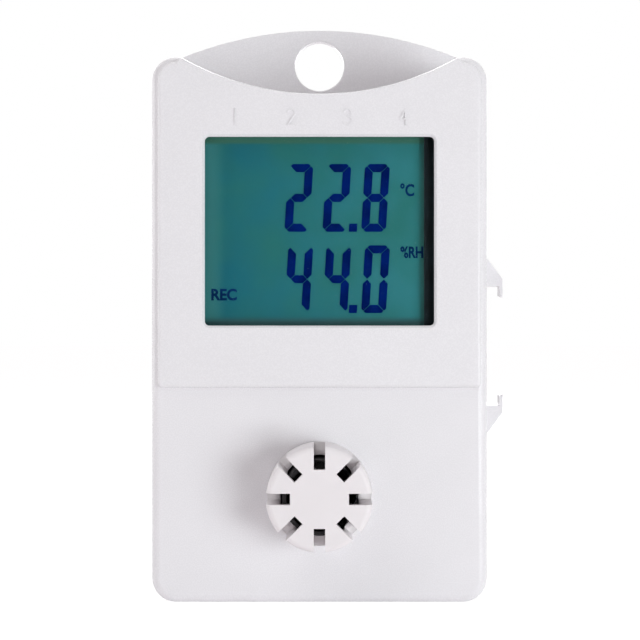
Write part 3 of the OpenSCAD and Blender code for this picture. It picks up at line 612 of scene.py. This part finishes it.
def new_tree(name, **sizes):
    """A Geometry Nodes tree with a geometry input and one named input for each size."""
    tree = bpy.data.node_groups.new(name, "GeometryNodeTree")
    tree.interface.new_socket("Geometry", in_out="INPUT", socket_type="NodeSocketGeometry")
    tree.interface.new_socket("Geometry", in_out="OUTPUT", socket_type="NodeSocketGeometry")
    for label, value in sizes.items():
        tree.interface.new_socket(label, in_out="INPUT", socket_type=SOCKET_KINDS[type(value)])
    return tree, tree.nodes.new("NodeGroupInput").outputs, tree.nodes.new("NodeGroupOutput").inputs


def step(tree, kind, settings=None, **inputs):
    """Adds a node with its own settings and its inputs, each a value or another node's output. In
    an input's name, _ stands for a space."""
    node = tree.nodes.new(kind)
    for name, value in (settings or {}).items():
        setattr(node, name, value)
    for name, value in inputs.items():
        socket = node.inputs[name.replace("_", " ")]
        if isinstance(value, bpy.types.NodeSocket):
            tree.links.new(value, socket)
        else:
            socket.default_value = value
    return node


def vector_of(tree, x=0.0, y=0.0, z=0.0):
    """A vector from three numbers or outputs."""
    return step(tree, "ShaderNodeCombineXYZ", X=x, Y=y, Z=z).outputs[0]


def end_tree(tree, geometry, material, result):
    """Realizes what the tree made and gives it its material."""
    real = step(tree, "GeometryNodeRealizeInstances", Geometry=geometry)
    painted = step(tree, "GeometryNodeSetMaterial", Geometry=real.outputs[0], Material=material)
    tree.links.new(painted.outputs[0], result["Geometry"])


def grown(working, tree, **sizes):
    """Adds the tree to the object as a modifier and sets its named inputs by their identifiers."""
    modifier = working.modifiers.new(tree.name, "NODES")
    modifier.node_group = tree
    sockets = {item.name: item.identifier for item in tree.interface.items_tree
               if item.in_out == "INPUT"}
    for label, value in sizes.items():
        modifier[sockets[label]] = value
    return working


# %% Wind a ridge or a wire
TO_FRONT = (math.radians(90), 0, 0)  # turns what was made along +Z to -Y


def wound_ridge(tree, given, sides=3, steps=32):
    """A wire or a thread's ridge along +Z, wound from radius Start to radius End about the origin."""
    turns = calculate(tree, "DIVIDE", given["Length"], given["Pitch"])
    path = step(tree, "GeometryNodeCurveSpiral", Resolution=steps, Rotations=turns,
                Start_Radius=given["Start"], End_Radius=given["End"], Height=given["Length"])
    section = step(tree, "GeometryNodeCurvePrimitiveCircle", Resolution=sides, Radius=given["Wire"])
    return step(tree, "GeometryNodeCurveToMesh", Curve=path.outputs[0],
                Profile_Curve=section.outputs[0], Fill_Caps=True).outputs[0]


def joined(tree, *parts):
    """Several geometries as one."""
    node = tree.nodes.new("GeometryNodeJoinGeometry")
    for part in parts:
        tree.links.new(part, node.inputs[0])
    return node.outputs[0]


def wound_tree(name, finish, sides=3):
    """Adds one wound wire or ridge to the mesh, turned and moved to its place."""
    tree, given, result = new_tree(name, Start=0.0, End=0.0, Length=0.0, Pitch=1.0, Wire=0.0,
                                   Turn=Vector(), Place=Vector(), Finish=finish)
    moved = step(tree, "GeometryNodeTransform", Geometry=wound_ridge(tree, given, sides),
                 Rotation=given["Turn"], Translation=given["Place"])
    end_tree(tree, joined(tree, given["Geometry"], moved.outputs[0]), given["Finish"], result)
    return tree


# %% Measure the cap
CAP_WALL = 2.3 * MM
CAP_FACE = 1.6 * MM  # thickness of the face
CAP_FOOT = 0.9 * MM  # of the side wall, what the slots leave whole
CAP_EDGE = 1.1 * MM  # radius of the rounding round the face
CAP_EDGE_STEPS = 8
SPIGOT_WALL = 1 * MM  # with the thread's ridge
SPIGOT_LENGTH = 4.15 * MM
CAP_THREAD = 0.3 * MM  # how far the thread's ridge stands out of the spigot's core

cap_low, cap_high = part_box("sensor_cap")
cap_radius = (cap_high.x - cap_low.x) / 2
cap_axis = Vector(((cap_low.x + cap_high.x) / 2, 0, (cap_low.z + cap_high.z) / 2))
cap_face, cap_foot = cap_low.y, cap_high.y - SPIGOT_LENGTH
cap_bore = cap_radius - CAP_WALL
spigot_core = cap_bore + SPIGOT_WALL - CAP_THREAD
joints = {joint["name"]: joint for joint in frame["record"]["behaviour"]["joints"]}
cap_pitch = joints["cap_travel"]["range_m"][1] / (joints["cap_turn"]["range_deg"][1] / 360)
print("cap has radius", round(cap_radius / MM, 2), "and pitch", round(cap_pitch / MM, 2), "mm")

# %% Draw the cap's profile and cut its slots
SLOT_COUNT = 8
SLOT_WIDTH = 1.96 * MM
SLOT_LENGTH = 4.17 * MM


def cap_profile():
    """From the edge of the face over the rim and the spigot to the edge of the inner face."""
    angles = [math.pi / 2 * k / CAP_EDGE_STEPS for k in range(CAP_EDGE_STEPS + 1)]
    rim = [(cap_radius - CAP_EDGE * (1 - math.sin(a)), cap_face + CAP_EDGE * (1 - math.cos(a)))
           for a in angles]
    return [*rim, (cap_radius, cap_foot), (spigot_core, cap_foot), (spigot_core, cap_high.y),
            (cap_bore, cap_high.y), (cap_bore, cap_face + CAP_FACE)]


def slot_tree():
    """Cuts radial slots through the mesh: count blocks of one size, turned about the cap's axis."""
    tree, given, result = new_tree("radial_slots", Count=SLOT_COUNT, Block=Vector(), Middle=Vector(),
                                   Axis=Vector(), Finish=cap_plastic)
    block = step(tree, "GeometryNodeMeshCube", Size=given["Block"]).outputs["Mesh"]
    moved = step(tree, "GeometryNodeTransform", Geometry=block, Translation=given["Middle"])
    points = step(tree, "GeometryNodePoints", Count=given["Count"], Position=given["Axis"])
    number = tree.nodes.new("GeometryNodeInputIndex").outputs[0]
    turn = calculate(tree, "DIVIDE", calculate(tree, "MULTIPLY", number, 2 * math.pi), given["Count"])
    cutters = step(tree, "GeometryNodeInstanceOnPoints", Points=points.outputs[0],
                   Instance=moved.outputs[0], Rotation=vector_of(tree, y=turn))
    solid = step(tree, "GeometryNodeRealizeInstances", Geometry=cutters.outputs[0])
    cut = step(tree, "GeometryNodeMeshBoolean", dict(operation="DIFFERENCE", solver="EXACT"))
    tree.links.new(given["Geometry"], cut.inputs["Mesh 1"])
    tree.links.new(solid.outputs[0], cut.inputs["Mesh 2"])
    end_tree(tree, cut.outputs["Mesh"], given["Finish"], result)
    return tree


# %% Shade the cap's round surfaces
SAME_SURFACE = math.radians(8)  # a face that turns off a surface by less than this lies on it


def rim_normal(point):
    """Which way the cap's outer surface faces at a point: forwards, sideways or in between."""
    outwards = Vector((point.x, 0, point.z)) - Vector((cap_axis.x, 0, cap_axis.z))
    sideways = min(max((outwards.length - (cap_radius - CAP_EDGE)) / CAP_EDGE, 0), 1)
    return (outwards.normalized() * sideways
            - Vector((0, 1, 0)) * math.sqrt(1 - sideways ** 2)).normalized()


def true_shading(mesh, surface_normal):
    """Shades the faces that lie on a known surface with that surface's own normals."""
    normals = [corner.vector.copy() for corner in mesh.corner_normals]
    on_surface = [face for face in mesh.polygons
                  if face.normal.angle(surface_normal(face.center)) < SAME_SURFACE]
    touched = {index for face in on_surface for index in face.vertices}
    lying = {face.index for face in on_surface}
    for face in mesh.polygons:
        for corner, vertex in zip(face.loop_indices, face.vertices):
            wanted = surface_normal(mesh.vertices[vertex].co)
            blends = vertex in touched and face.normal.angle(wanted) < SHARP_ANGLE
            if face.index in lying or blends:
                normals[corner] = wanted
    mesh.normals_split_custom_set(normals)


# %% Build the cap
SLOT_BREAK = 0.14 * MM
BROKEN_EDGE = math.radians(40)  # an edge of the cap that turns more than this is broken
OVERRUN = 1 * MM  # how far a cutter reaches past what it cuts


def build_cap():
    """The cap with its slots cut, their edges broken and the thread wound round its spigot."""
    start, end = cap_radius - SLOT_LENGTH, cap_radius + OVERRUN
    front, back = cap_face - OVERRUN, cap_foot - CAP_FOOT
    working = new_object("cap_working", turned("cap_turned", cap_profile(), cap_axis))
    grown(working, slot_tree(), Count=SLOT_COUNT, Axis=cap_axis, Finish=cap_plastic,
          Block=(SLOT_WIDTH, back - front, end - start),
          Middle=(0, (front + back) / 2, (start + end) / 2))
    edges = working.modifiers.new("broken_edges", "BEVEL")
    edges.width = SLOT_BREAK
    edges.segments = 2
    edges.limit_method = "ANGLE"
    edges.angle_limit = BROKEN_EDGE
    grown(working, wound_tree("cap_thread", cap_plastic), Start=spigot_core, End=spigot_core,
          Pitch=cap_pitch, Length=SPIGOT_LENGTH - 2 * CAP_THREAD, Wire=CAP_THREAD, Turn=TO_FRONT,
          Place=(cap_axis.x, cap_high.y - CAP_THREAD, cap_axis.z), Finish=cap_plastic)
    piece = settled(working, "sensor_cap_turned")
    smooth_shading(piece.data)
    true_shading(piece.data, rim_normal)
    return piece


cap = dress(build_cap(), cap_plastic, "sensor_cap")
print("cap has", len(cap.data.polygons), "faces")

# %% [markdown]
# ## Display lettering
# Besides the two rows of large digits, which are CAD pieces, the cell shows the two units and a small
# status word. They are plain text, made a mesh at once so that they can be placed like any other
# piece. They are thinner than the digits, so that they stay readable from the side.

# %% Add the units and the status word
INK_THICKNESS = 0.04 * MM
LETTER_SHARE = 0.72  # of a text's size, the height of its capitals
UNIT_INSET = 5.9 * MM  # from the window's right end to where the units start
DEGREES_DROP = 10.3 * MM  # from the window's top to the foot of the upper unit
HUMIDITY_RISE = 12.2 * MM  # from the window's foot to the foot of the lower unit
STATUS_INSET = 1 * MM
STATUS_RISE = 4.6 * MM

units_left = window_high.x - UNIT_INSET
status_left = window_low.x + STATUS_INSET


def display_word(name, text, left, foot, height, width, bold):
    """A word on the front of the display cell, its lower left corner at left, foot. Bold is how far
    its strokes are widened."""
    font = bpy.data.curves.new(name, "FONT")
    font.body = text
    font.size = height / LETTER_SHARE
    font.offset = bold
    font.extrude = INK_THICKNESS / 2
    word = settled(new_object(name + "_text", font), name)
    left_end = min(v.co.x for v in word.data.vertices)
    natural = max(v.co.x for v in word.data.vertices) - left_end
    for change in (Matrix.Translation((-left_end, 0, 0)), Matrix.Diagonal((width / natural, 1, 1, 1)),
                   Matrix.Rotation(math.radians(90), 4, "X"),
                   Matrix.Translation((left, cell_front - INK_THICKNESS / 2, foot))):
        word.data.transform(change)
    return dress(word, small_ink, "lcd_digits", replace=False)


display_word("unit_degrees", "°C", units_left, window_high.z - DEGREES_DROP,
             height=2.1 * MM, width=2.5 * MM, bold=0.09 * MM)
display_word("unit_humidity", "%RH", units_left, window_low.z + HUMIDITY_RISE,
             height=2 * MM, width=4.1 * MM, bold=0.09 * MM)
display_word("status_word", "REC", status_left, window_low.z + STATUS_RISE,
             height=2 * MM, width=4.6 * MM, bold=0.1 * MM)
print("display words stand", round(INK_THICKNESS / MM, 2), "mm proud of the cell")

# %% [markdown]
# ## Screws
# Four screws hold the cover and four hold the board: pan heads with a cross recess, on a threaded
# shank. Both kinds come from one recipe: a tree takes a turned blank, cuts the cross, winds a ridge
# round the core, and sets a copy on every point it is given. The points come from the CAD model's
# own screws, so nothing has to be placed by hand.

# %% Find a node's separate solids


def solids_of(node):
    """Lowest and highest corner of each separate solid in a CAD node."""
    shape = joined_shape(node)
    left, found = set(shape.verts), []
    while left:
        waiting, solid = [left.pop()], []
        while waiting:
            vertex = waiting.pop()
            solid.append(vertex.co.copy())
            near = {edge.other_vert(vertex) for edge in vertex.link_edges} & left
            left -= near
            waiting += near
        found.append(tuple(Vector(pick(point[i] for point in solid) for i in range(3))
                           for pick in (min, max)))
    shape.free()
    return sorted(found, key=lambda corners: tuple(round(value, 6) for value in corners[0]))


# %% Turn, cut and thread a screw
HEAD_STEPS = 4
CROWN_SHARE = 0.7  # of a head's height, how much of it is domed
TIP_SHARE = 0.5  # of the core's radius, what is left of it at the tip


def screw_blank(name, head_radius, head_height, core, length):
    """A screw along -Y without its recess and thread, the middle of its head's top at the origin."""
    angles = [math.pi / 2 * k / HEAD_STEPS for k in range(HEAD_STEPS + 1)]
    crown = head_height * CROWN_SHARE
    dome = [(head_radius - crown * (1 - math.sin(a)), -crown * (1 - math.cos(a))) for a in angles]
    profile = [*dome, (head_radius, -head_height), (core, -head_height), (core, core - length),
               (core * TIP_SHARE, -length)]
    return new_object(name, turned(name, profile, Vector(), steps=32))


def screw_tree(name, blank, finish):
    """A screw with a cross recess and a thread on every point of the mesh."""
    tree, given, result = new_tree(name, Blank=blank, Recess=Vector(), Start=0.0, End=0.0, Length=0.0,
                                   Pitch=1.0, Wire=0.0, Place=Vector(), Finish=finish)
    source = step(tree, "GeometryNodeObjectInfo", Object=given["Blank"]).outputs["Geometry"]
    arm = step(tree, "GeometryNodeMeshCube", Size=given["Recess"]).outputs["Mesh"]
    across = step(tree, "GeometryNodeTransform", Geometry=arm, Rotation=(0, math.pi / 2, 0)).outputs[0]
    cut = step(tree, "GeometryNodeMeshBoolean", dict(operation="DIFFERENCE", solver="EXACT"))
    tree.links.new(source, cut.inputs["Mesh 1"])
    for part in (arm, across):
        tree.links.new(part, cut.inputs["Mesh 2"])
    ridge = step(tree, "GeometryNodeTransform", Geometry=wound_ridge(tree, given),
                 Rotation=TO_FRONT, Translation=given["Place"]).outputs[0]
    whole = joined(tree, cut.outputs["Mesh"], ridge)
    set_out = step(tree, "GeometryNodeInstanceOnPoints", Points=given["Geometry"], Instance=whole)
    end_tree(tree, set_out.outputs[0], given["Finish"], result)
    return tree


# %% Build the screws
SCREW_THREAD = 0.1 * MM  # how far the thread's ridge stands out of the core
SCREW_PITCH = 0.6 * MM
RECESS_DEPTH_SHARE = 0.6  # of the cross, the height of the block that cuts it, half of it in the head
RECESS_WIDTH_SHARE = 0.2  # of the cross, the width of its arms


def build_screws(node, head_height, shank, cross):
    """The screws of one CAD node, in their places, heads towards the back. Shank is a radius, and
    cross is how far the recess reaches from end to end."""
    solids = solids_of(node)
    low, high = solids[0]
    radius, length, core = (high.x - low.x) / 2, high.y - low.y, shank - SCREW_THREAD
    blank = screw_blank(node + "_blank", radius, head_height, core, length)
    mesh = bpy.data.meshes.new(node + "_places")
    mesh.from_pydata([((a.x + b.x) / 2, b.y, (a.z + b.z) / 2) for a, b in solids], [], [])
    working = new_object(node + "_working", mesh)
    grown(working, screw_tree(node + "_tree", blank, zinc), Blank=blank, Finish=zinc, Start=core,
          End=core, Pitch=SCREW_PITCH, Wire=SCREW_THREAD, Length=length - head_height - shank,
          Recess=(cross, cross * RECESS_DEPTH_SHARE, cross * RECESS_WIDTH_SHARE),
          Place=(0, -head_height - SCREW_THREAD, 0))
    piece = settled(working, node + "_threaded")
    bpy.data.objects.remove(blank)
    smooth_shading(piece.data)
    print(piece.name, "are", len(solids), "screws,", round(length / MM, 1), "mm long")
    return dress(piece, zinc, node)


build_screws("cover_screws", head_height=1.5 * MM, shank=1.25 * MM, cross=2.6 * MM)
build_screws("board_screws", head_height=1.2 * MM, shank=0.85 * MM, cross=2 * MM)

# %% [markdown]
# ## Battery contacts
# The cell stands between a flat plate and a conical spring, which is one wire wound inwards as it
# rises. The recipe that winds the cap's thread winds this wire too, with a rounder section and a
# smaller radius at the end.

# %% Build the battery contacts
CONTACT_WIRE = 0.4 * MM  # the wire's radius
WIRE_SIDES = 10
SPRING_TOP = 1 * MM  # the last turn's radius
SPRING_TURNS = 2.5
PLATE_BREAK = 0.12 * MM

lower_contact, upper_contact = sorted(solids_of("battery_contacts"), key=lambda corners: corners[0].z)
contact_plate = upper_contact[1] - upper_contact[0]


def build_contacts():
    """Two sprung steel plates, with the spring on the lower one."""
    shape = bmesh.new()
    for corner in (lower_contact[0], upper_contact[0]):
        middle = corner + contact_plate / 2
        bmesh.ops.create_cube(shape, size=1, matrix=Matrix.Translation(middle)
                              @ Matrix.Diagonal((*contact_plate, 1)))
    break_edges(shape, PLATE_BREAK, lambda edge: True, steps=2)
    working = new_object("contacts_working", finished_mesh(shape, "contact_plates"))
    axis_x = (lower_contact[0].x + lower_contact[1].x) / 2
    foot = contact_plate.x / 2 - CONTACT_WIRE
    axis_y = lower_contact[1].y - contact_plate.x / 2
    rise = lower_contact[1].z - lower_contact[0].z - contact_plate.z - 2 * CONTACT_WIRE
    grown(working, wound_tree("contact_spring", nickel, WIRE_SIDES), Start=foot, End=SPRING_TOP,
          Length=rise, Pitch=rise / SPRING_TURNS, Wire=CONTACT_WIRE, Finish=nickel,
          Place=(axis_x, axis_y, lower_contact[0].z + contact_plate.z + CONTACT_WIRE))
    piece = settled(working, "battery_contacts_sprung")
    smooth_shading(piece.data)
    print("spring rises", round((rise + 2 * CONTACT_WIRE) / MM, 2), "mm from its plate")
    return dress(piece, nickel, "battery_contacts")


build_contacts()

# %% [markdown]
# ## The board's fine parts
# The circuit board carries what is too small for the CAD model: plated holes, copper tracks under
# the green lacquer and a solder fillet at every chip leg. Holes are scattered by Geometry Nodes with
# a fixed seed. Tracks are drawn as a few bent lines, which a tree turns into flat strips.

# %% Measure the board and its chip
BOARD_SKIN = 0.04 * MM  # how far lands and tracks stand out of the board

board_low, board_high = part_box("main_board")
chip_low, chip_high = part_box("microcontroller")
skin = board_high.y + BOARD_SKIN / 2
track_copper = moulded("track_lacquer", srgb(46, 124, 74), grain=0.5 * MM, gloss=(0.25, 0.35))
solder = metal("solder_tin", srgb(188, 190, 194), (0.2, 0.4), (1, 1, 1))
print("main chip is", [round(v / MM, 2) for v in (chip_high - chip_low).xz], "mm")

# %% Trees for holes, fillets and tracks
HOLE_SIDES = 12
HOLE_DENSITY = 30000.0  # holes tried on a square metre


def scatter_tree():
    """Small round lands scattered over the mesh's faces."""
    tree, given, result = new_tree("plated_holes", Spacing=0.0, Radius=0.0, Height=0.0, Seed=0,
                                   Finish=solder)
    points = step(tree, "GeometryNodeDistributePointsOnFaces", dict(distribute_method="POISSON"),
                  Mesh=given["Geometry"], Distance_Min=given["Spacing"], Density_Max=HOLE_DENSITY,
                  Seed=given["Seed"])
    land = step(tree, "GeometryNodeMeshCylinder", Vertices=HOLE_SIDES, Radius=given["Radius"],
                Depth=given["Height"]).outputs["Mesh"]
    upright = step(tree, "GeometryNodeTransform", Geometry=land, Rotation=TO_FRONT)
    spread = step(tree, "GeometryNodeInstanceOnPoints", Points=points.outputs["Points"],
                  Instance=upright.outputs[0])
    end_tree(tree, spread.outputs[0], given["Finish"], result)
    return tree


def row_tree():
    """One block on every point of the mesh."""
    tree, given, result = new_tree("solder_fillets", Block=Vector(), Finish=solder)
    block = step(tree, "GeometryNodeMeshCube", Size=given["Block"]).outputs["Mesh"]
    spread = step(tree, "GeometryNodeInstanceOnPoints", Points=given["Geometry"], Instance=block)
    end_tree(tree, spread.outputs[0], given["Finish"], result)
    return tree


def strip_tree():
    """Every edge chain of the mesh as a flat strip."""
    tree, given, result = new_tree("board_tracks", Width=0.0, Height=0.0, Finish=track_copper)
    path = step(tree, "GeometryNodeMeshToCurve", Mesh=given["Geometry"])
    section = step(tree, "GeometryNodeCurvePrimitiveQuadrilateral", Width=given["Width"],
                   Height=given["Height"])
    strip = step(tree, "GeometryNodeCurveToMesh", Curve=path.outputs[0],
                 Profile_Curve=section.outputs[0], Fill_Caps=True)
    end_tree(tree, strip.outputs[0], given["Finish"], result)
    return tree


# %% Scatter the holes
HOLE_SPACING = 3.2 * MM
HOLE_RADIUS = 0.4 * MM
HOLE_SEED = 7
BOARD_MARGIN = 3 * MM


def fine_part(name, vertices, edges, faces, tree, finish, **sizes):
    """A piece on the board, made by a tree from a few points, lines or faces."""
    mesh = bpy.data.meshes.new(name + "_places")
    mesh.from_pydata(vertices, edges, faces)
    working = new_object(name + "_working", mesh)
    piece = settled(grown(working, tree, Finish=finish, **sizes), name)
    return dress(piece, finish, "main_board", replace=False)


def add_holes():
    """Plated holes beside the chip."""
    left, right = chip_high.x + BOARD_MARGIN, board_high.x - BOARD_MARGIN
    low, high = board_low.z + 2 * BOARD_MARGIN, board_high.z - 2 * BOARD_MARGIN
    corners = [(left, skin, low), (right, skin, low), (right, skin, high), (left, skin, high)]
    return fine_part("plated_holes", corners, [], [(0, 1, 2, 3)], scatter_tree(), solder,
                     Spacing=HOLE_SPACING, Radius=HOLE_RADIUS, Height=BOARD_SKIN, Seed=HOLE_SEED)


holes = add_holes()
print(holes.name, "has", len(holes.data.polygons), "faces")

# %% Add the solder and the tracks
LEG_PITCH = 0.8 * MM
LEG_COUNT = 10
FILLET_LENGTH = 1.1 * MM
FILLET_SHARE = 0.55  # of the legs' pitch, the width of a fillet
FILLET_SKINS = 3  # height of a fillet's block in board skins, half of it above the skin's middle
TRACK_WIDTH = 0.3 * MM
TRACK_START = 2.5 * MM  # a track's first stretch, in the middle of the row
TRACK_STEP = 0.4 * MM  # how much shorter that stretch gets with each leg
FAN_SHARE = 0.8  # of its distance from the row's middle, how far a track spreads
TRACK_END = 3 * MM


def track_points(x, side, number):
    """A track from a leg's foot: straight out, then fanned away from the row's middle, then straight."""
    z = (chip_low.z + chip_high.z) / 2 + number * LEG_PITCH
    bend, spread = TRACK_START - abs(number) * TRACK_STEP, number * LEG_PITCH * FAN_SHARE
    fanned = bend + abs(spread)
    return [(x, skin, z), (x + side * bend, skin, z), (x + side * fanned, skin, z + spread),
            (x + side * (fanned + TRACK_END), skin, z + spread)]


def add_legs():
    """A solder fillet and a track for each leg of the chip, numbered from the row's middle."""
    numbers = [i - (LEG_COUNT - 1) / 2 for i in range(LEG_COUNT)]
    paths = [track_points(x, side, number)
             for side, x in ((-1, chip_low.x), (1, chip_high.x)) for number in numbers]
    lines = [point for path in paths for point in path]
    edges = [(i, i + 1) for i in range(len(lines) - 1) if (i + 1) % len(paths[0])]
    fillets = fine_part("solder_fillets", [path[0] for path in paths], [], [], row_tree(), solder,
                        Block=(FILLET_LENGTH, FILLET_SKINS * BOARD_SKIN, LEG_PITCH * FILLET_SHARE))
    tracks = fine_part("board_tracks", lines, edges, [], strip_tree(), track_copper,
                       Width=TRACK_WIDTH, Height=BOARD_SKIN)
    return fillets, tracks


for piece in add_legs():
    print(piece.name, "has", len(piece.data.polygons), "faces")

# %% [markdown]
# ## The remaining pieces
# The other CAD nodes have the right shape already. Their objects stay as they are and only get the
# material that the real piece has.

# %% Give the CAD nodes their finishes
FINISHES = {
    film: ["lcd_glass"],
    ink: ["lcd_digits"],
    pane: ["display_lens"],
    # Its dark foam, seen at the window's right end, stands in for the shade of the window's frame.
    foam: ["display_gasket"],
    light_guide: ["lcd_reflector", "humidity_chip"],
    frame_plastic: ["lcd_frame"],
    contact_rubber: ["contact_strips"],
    seal_rubber: ["case_seal", "cap_seal"],
    label_film: ["back_label"],
    brass: ["screw_inserts"],
    board_lacquer: ["main_board", "sensor_board"],
    chip_black: ["microcontroller", "memory_chip", "buzzer", "sensor_plug"],
    nickel: ["clock_crystal"],
    capacitor_tan: ["capacitors"],
    reed_glass: ["reed_switch"],
    cell_sleeve: ["battery_cell"],
    holder_plastic: ["battery_holder"],
    bead_glass: ["temperature_bead"],
    socket_plastic: ["sensor_socket", "port_socket"],
    filter_dark: ["filter_sleeve"],
    gold: ["port_contacts"],
}
for material, nodes in FINISHES.items():
    for node in nodes:
        mesh = frame["nodes"][node].data
        mesh.materials.clear()
        mesh.materials.append(material)
print("finished CAD nodes:", sum(len(nodes) for nodes in FINISHES.values()))

# %% [markdown]
# ## Stage and light
# The photograph has a pure white ground and soft light. A broad lamp at the right and a little low
# makes the shadow that the cap throws to the left. Weaker lamps at the left and above lift the left
# wall, the tab and the rims, one behind lights the back, and the world fills the shadows with a
# faintly rosy light. To the camera, in reflections and through glass, world and floor are white, so
# the ground is white without any more light on the logger.

# %% Build the floor
FLOOR_REACH = 3.0  # metres from the middle to each side
FLOOR_COLOUR = (0.92, 0.88, 0.9, 1)
FLOOR_SHADE_SHARE = 0.2  # how much of the floor's own shading, and so of the shadow, is seen
FLOOR_GLOW = 1.17


def seen_share(tree):
    """1 for rays that show the ground: from the camera, off a gloss or through glass."""
    path = tree.nodes.new("ShaderNodeLightPath")
    seen = calculate(tree, "ADD", path.outputs["Is Camera Ray"], path.outputs["Is Glossy Ray"])
    return calculate(tree, "MINIMUM", calculate(
        tree, "ADD", seen, path.outputs["Is Transmission Ray"]), 1.0)


def build_floor():
    """A pale floor that looks white and keeps a faint shadow of the logger."""
    mesh = bpy.data.meshes.new("floor")
    corners = [(-1, -1), (1, -1), (1, 1), (-1, 1)]
    mesh.from_pydata([(x * FLOOR_REACH, y * FLOOR_REACH, 0) for x, y in corners], [], [(0, 1, 2, 3)])
    material, tree, shader = new_material("floor_white")
    shader.inputs["Base Color"].default_value = FLOOR_COLOUR
    shader.inputs["Roughness"].default_value = 0.9
    glow = tree.nodes.new("ShaderNodeEmission")
    glow.inputs["Strength"].default_value = FLOOR_GLOW
    mix = tree.nodes.new("ShaderNodeMixShader")
    share = calculate(tree, "MULTIPLY", seen_share(tree), 1 - FLOOR_SHADE_SHARE)
    tree.links.new(share, mix.inputs[0])
    tree.links.new(shader.outputs[0], mix.inputs[1])
    tree.links.new(glow.outputs[0], mix.inputs[2])
    tree.links.new(mix.outputs[0], tree.nodes["Material Output"].inputs["Surface"])
    mesh.materials.append(material)
    floor = new_object("floor", mesh)
    floor.visible_shadow = False


build_floor()
print("floor reaches", FLOOR_REACH, "m to each side")

# %% Build the world
WORLD_COLOUR = (1.0, 0.92, 0.93, 1)
WORLD_FRONT = 0.2  # strength of the light from the camera's side
WORLD_BACK = 0.36  # strength of the light from behind the logger
GROUND_EDGE = 0.35  # how far to either side of the middle the two blend, of a unit direction


def build_world():
    """Soft light from all round, stronger from the white ground behind, which itself looks white."""
    world = bpy.data.worlds.new("studio")
    world.use_nodes = True
    tree = world.node_tree
    fill = tree.nodes["Background"]
    fill.inputs["Color"].default_value = WORLD_COLOUR
    way = tree.nodes.new("ShaderNodeSeparateXYZ")
    tree.links.new(tree.nodes.new("ShaderNodeTexCoord").outputs["Generated"], way.inputs[0])
    strength = remap(tree, way.outputs["Y"], (-GROUND_EDGE, GROUND_EDGE),
                     (WORLD_FRONT, WORLD_BACK), smooth=True)
    tree.links.new(strength, fill.inputs["Strength"])
    ground = tree.nodes.new("ShaderNodeBackground")
    ground.inputs["Color"].default_value = (1, 1, 1, 1)
    mix = tree.nodes.new("ShaderNodeMixShader")
    tree.links.new(seen_share(tree), mix.inputs[0])
    tree.links.new(fill.outputs[0], mix.inputs[1])
    tree.links.new(ground.outputs[0], mix.inputs[2])
    tree.links.new(mix.outputs[0], tree.nodes["World Output"].inputs["Surface"])
    bpy.context.scene.world = world


build_world()
print("world lights with", WORLD_FRONT, "from the front and", WORLD_BACK, "from behind")

# %% Hang the lamps
LIT_MIDDLE = Vector((0, 0, 45)) * MM

# Name, degrees to the right of the front and above it, distance, size, watts and colour
LAMPS = [
    ("key_right", 40, -7, 0.6, 0.3, 2.3, (0.94, 1.0, 1.0)),
    ("fill_left", -55, 5, 0.7, 0.5, 0.46, (0.96, 1.0, 1.0)),
    ("side_left", -100, 0, 0.6, 0.4, 0.9, (0.96, 1.0, 1.0)),
    ("top_left", -50, 50, 0.6, 0.4, 0.85, (1.0, 1.0, 1.0)),
    ("top_back", 0, 100, 0.6, 0.4, 1.0, (1.0, 1.0, 1.0)),
    ("fill_back", 180, 20, 0.8, 0.5, 2.4, (1.0, 1.0, 1.0)),
]


def softbox(name, location, size, power, colour):
    """A square lamp that faces the logger's middle."""
    lamp = bpy.data.lights.new(name, "AREA")
    lamp.size = size
    lamp.energy = power
    lamp.color = colour
    box = bpy.data.objects.new(name, lamp)
    box.location = location
    box.rotation_euler = (LIT_MIDDLE - location).to_track_quat("-Z", "Y").to_euler()
    bpy.context.scene.collection.objects.link(box)


def lamp_place(side, rise, distance):
    """A place at angles in degrees to the right of the front and above it."""
    side, rise = math.radians(side), math.radians(rise)
    return LIT_MIDDLE + distance * Vector((
        math.sin(side) * math.cos(rise), -math.cos(side) * math.cos(rise), math.sin(rise)))


for name, side, rise, distance, size, power, colour in LAMPS:
    softbox(name, lamp_place(side, rise, distance), size, power, colour)
bpy.context.scene.view_settings.view_transform = "Standard"
print("stage lit by", len(LAMPS), "lamps")
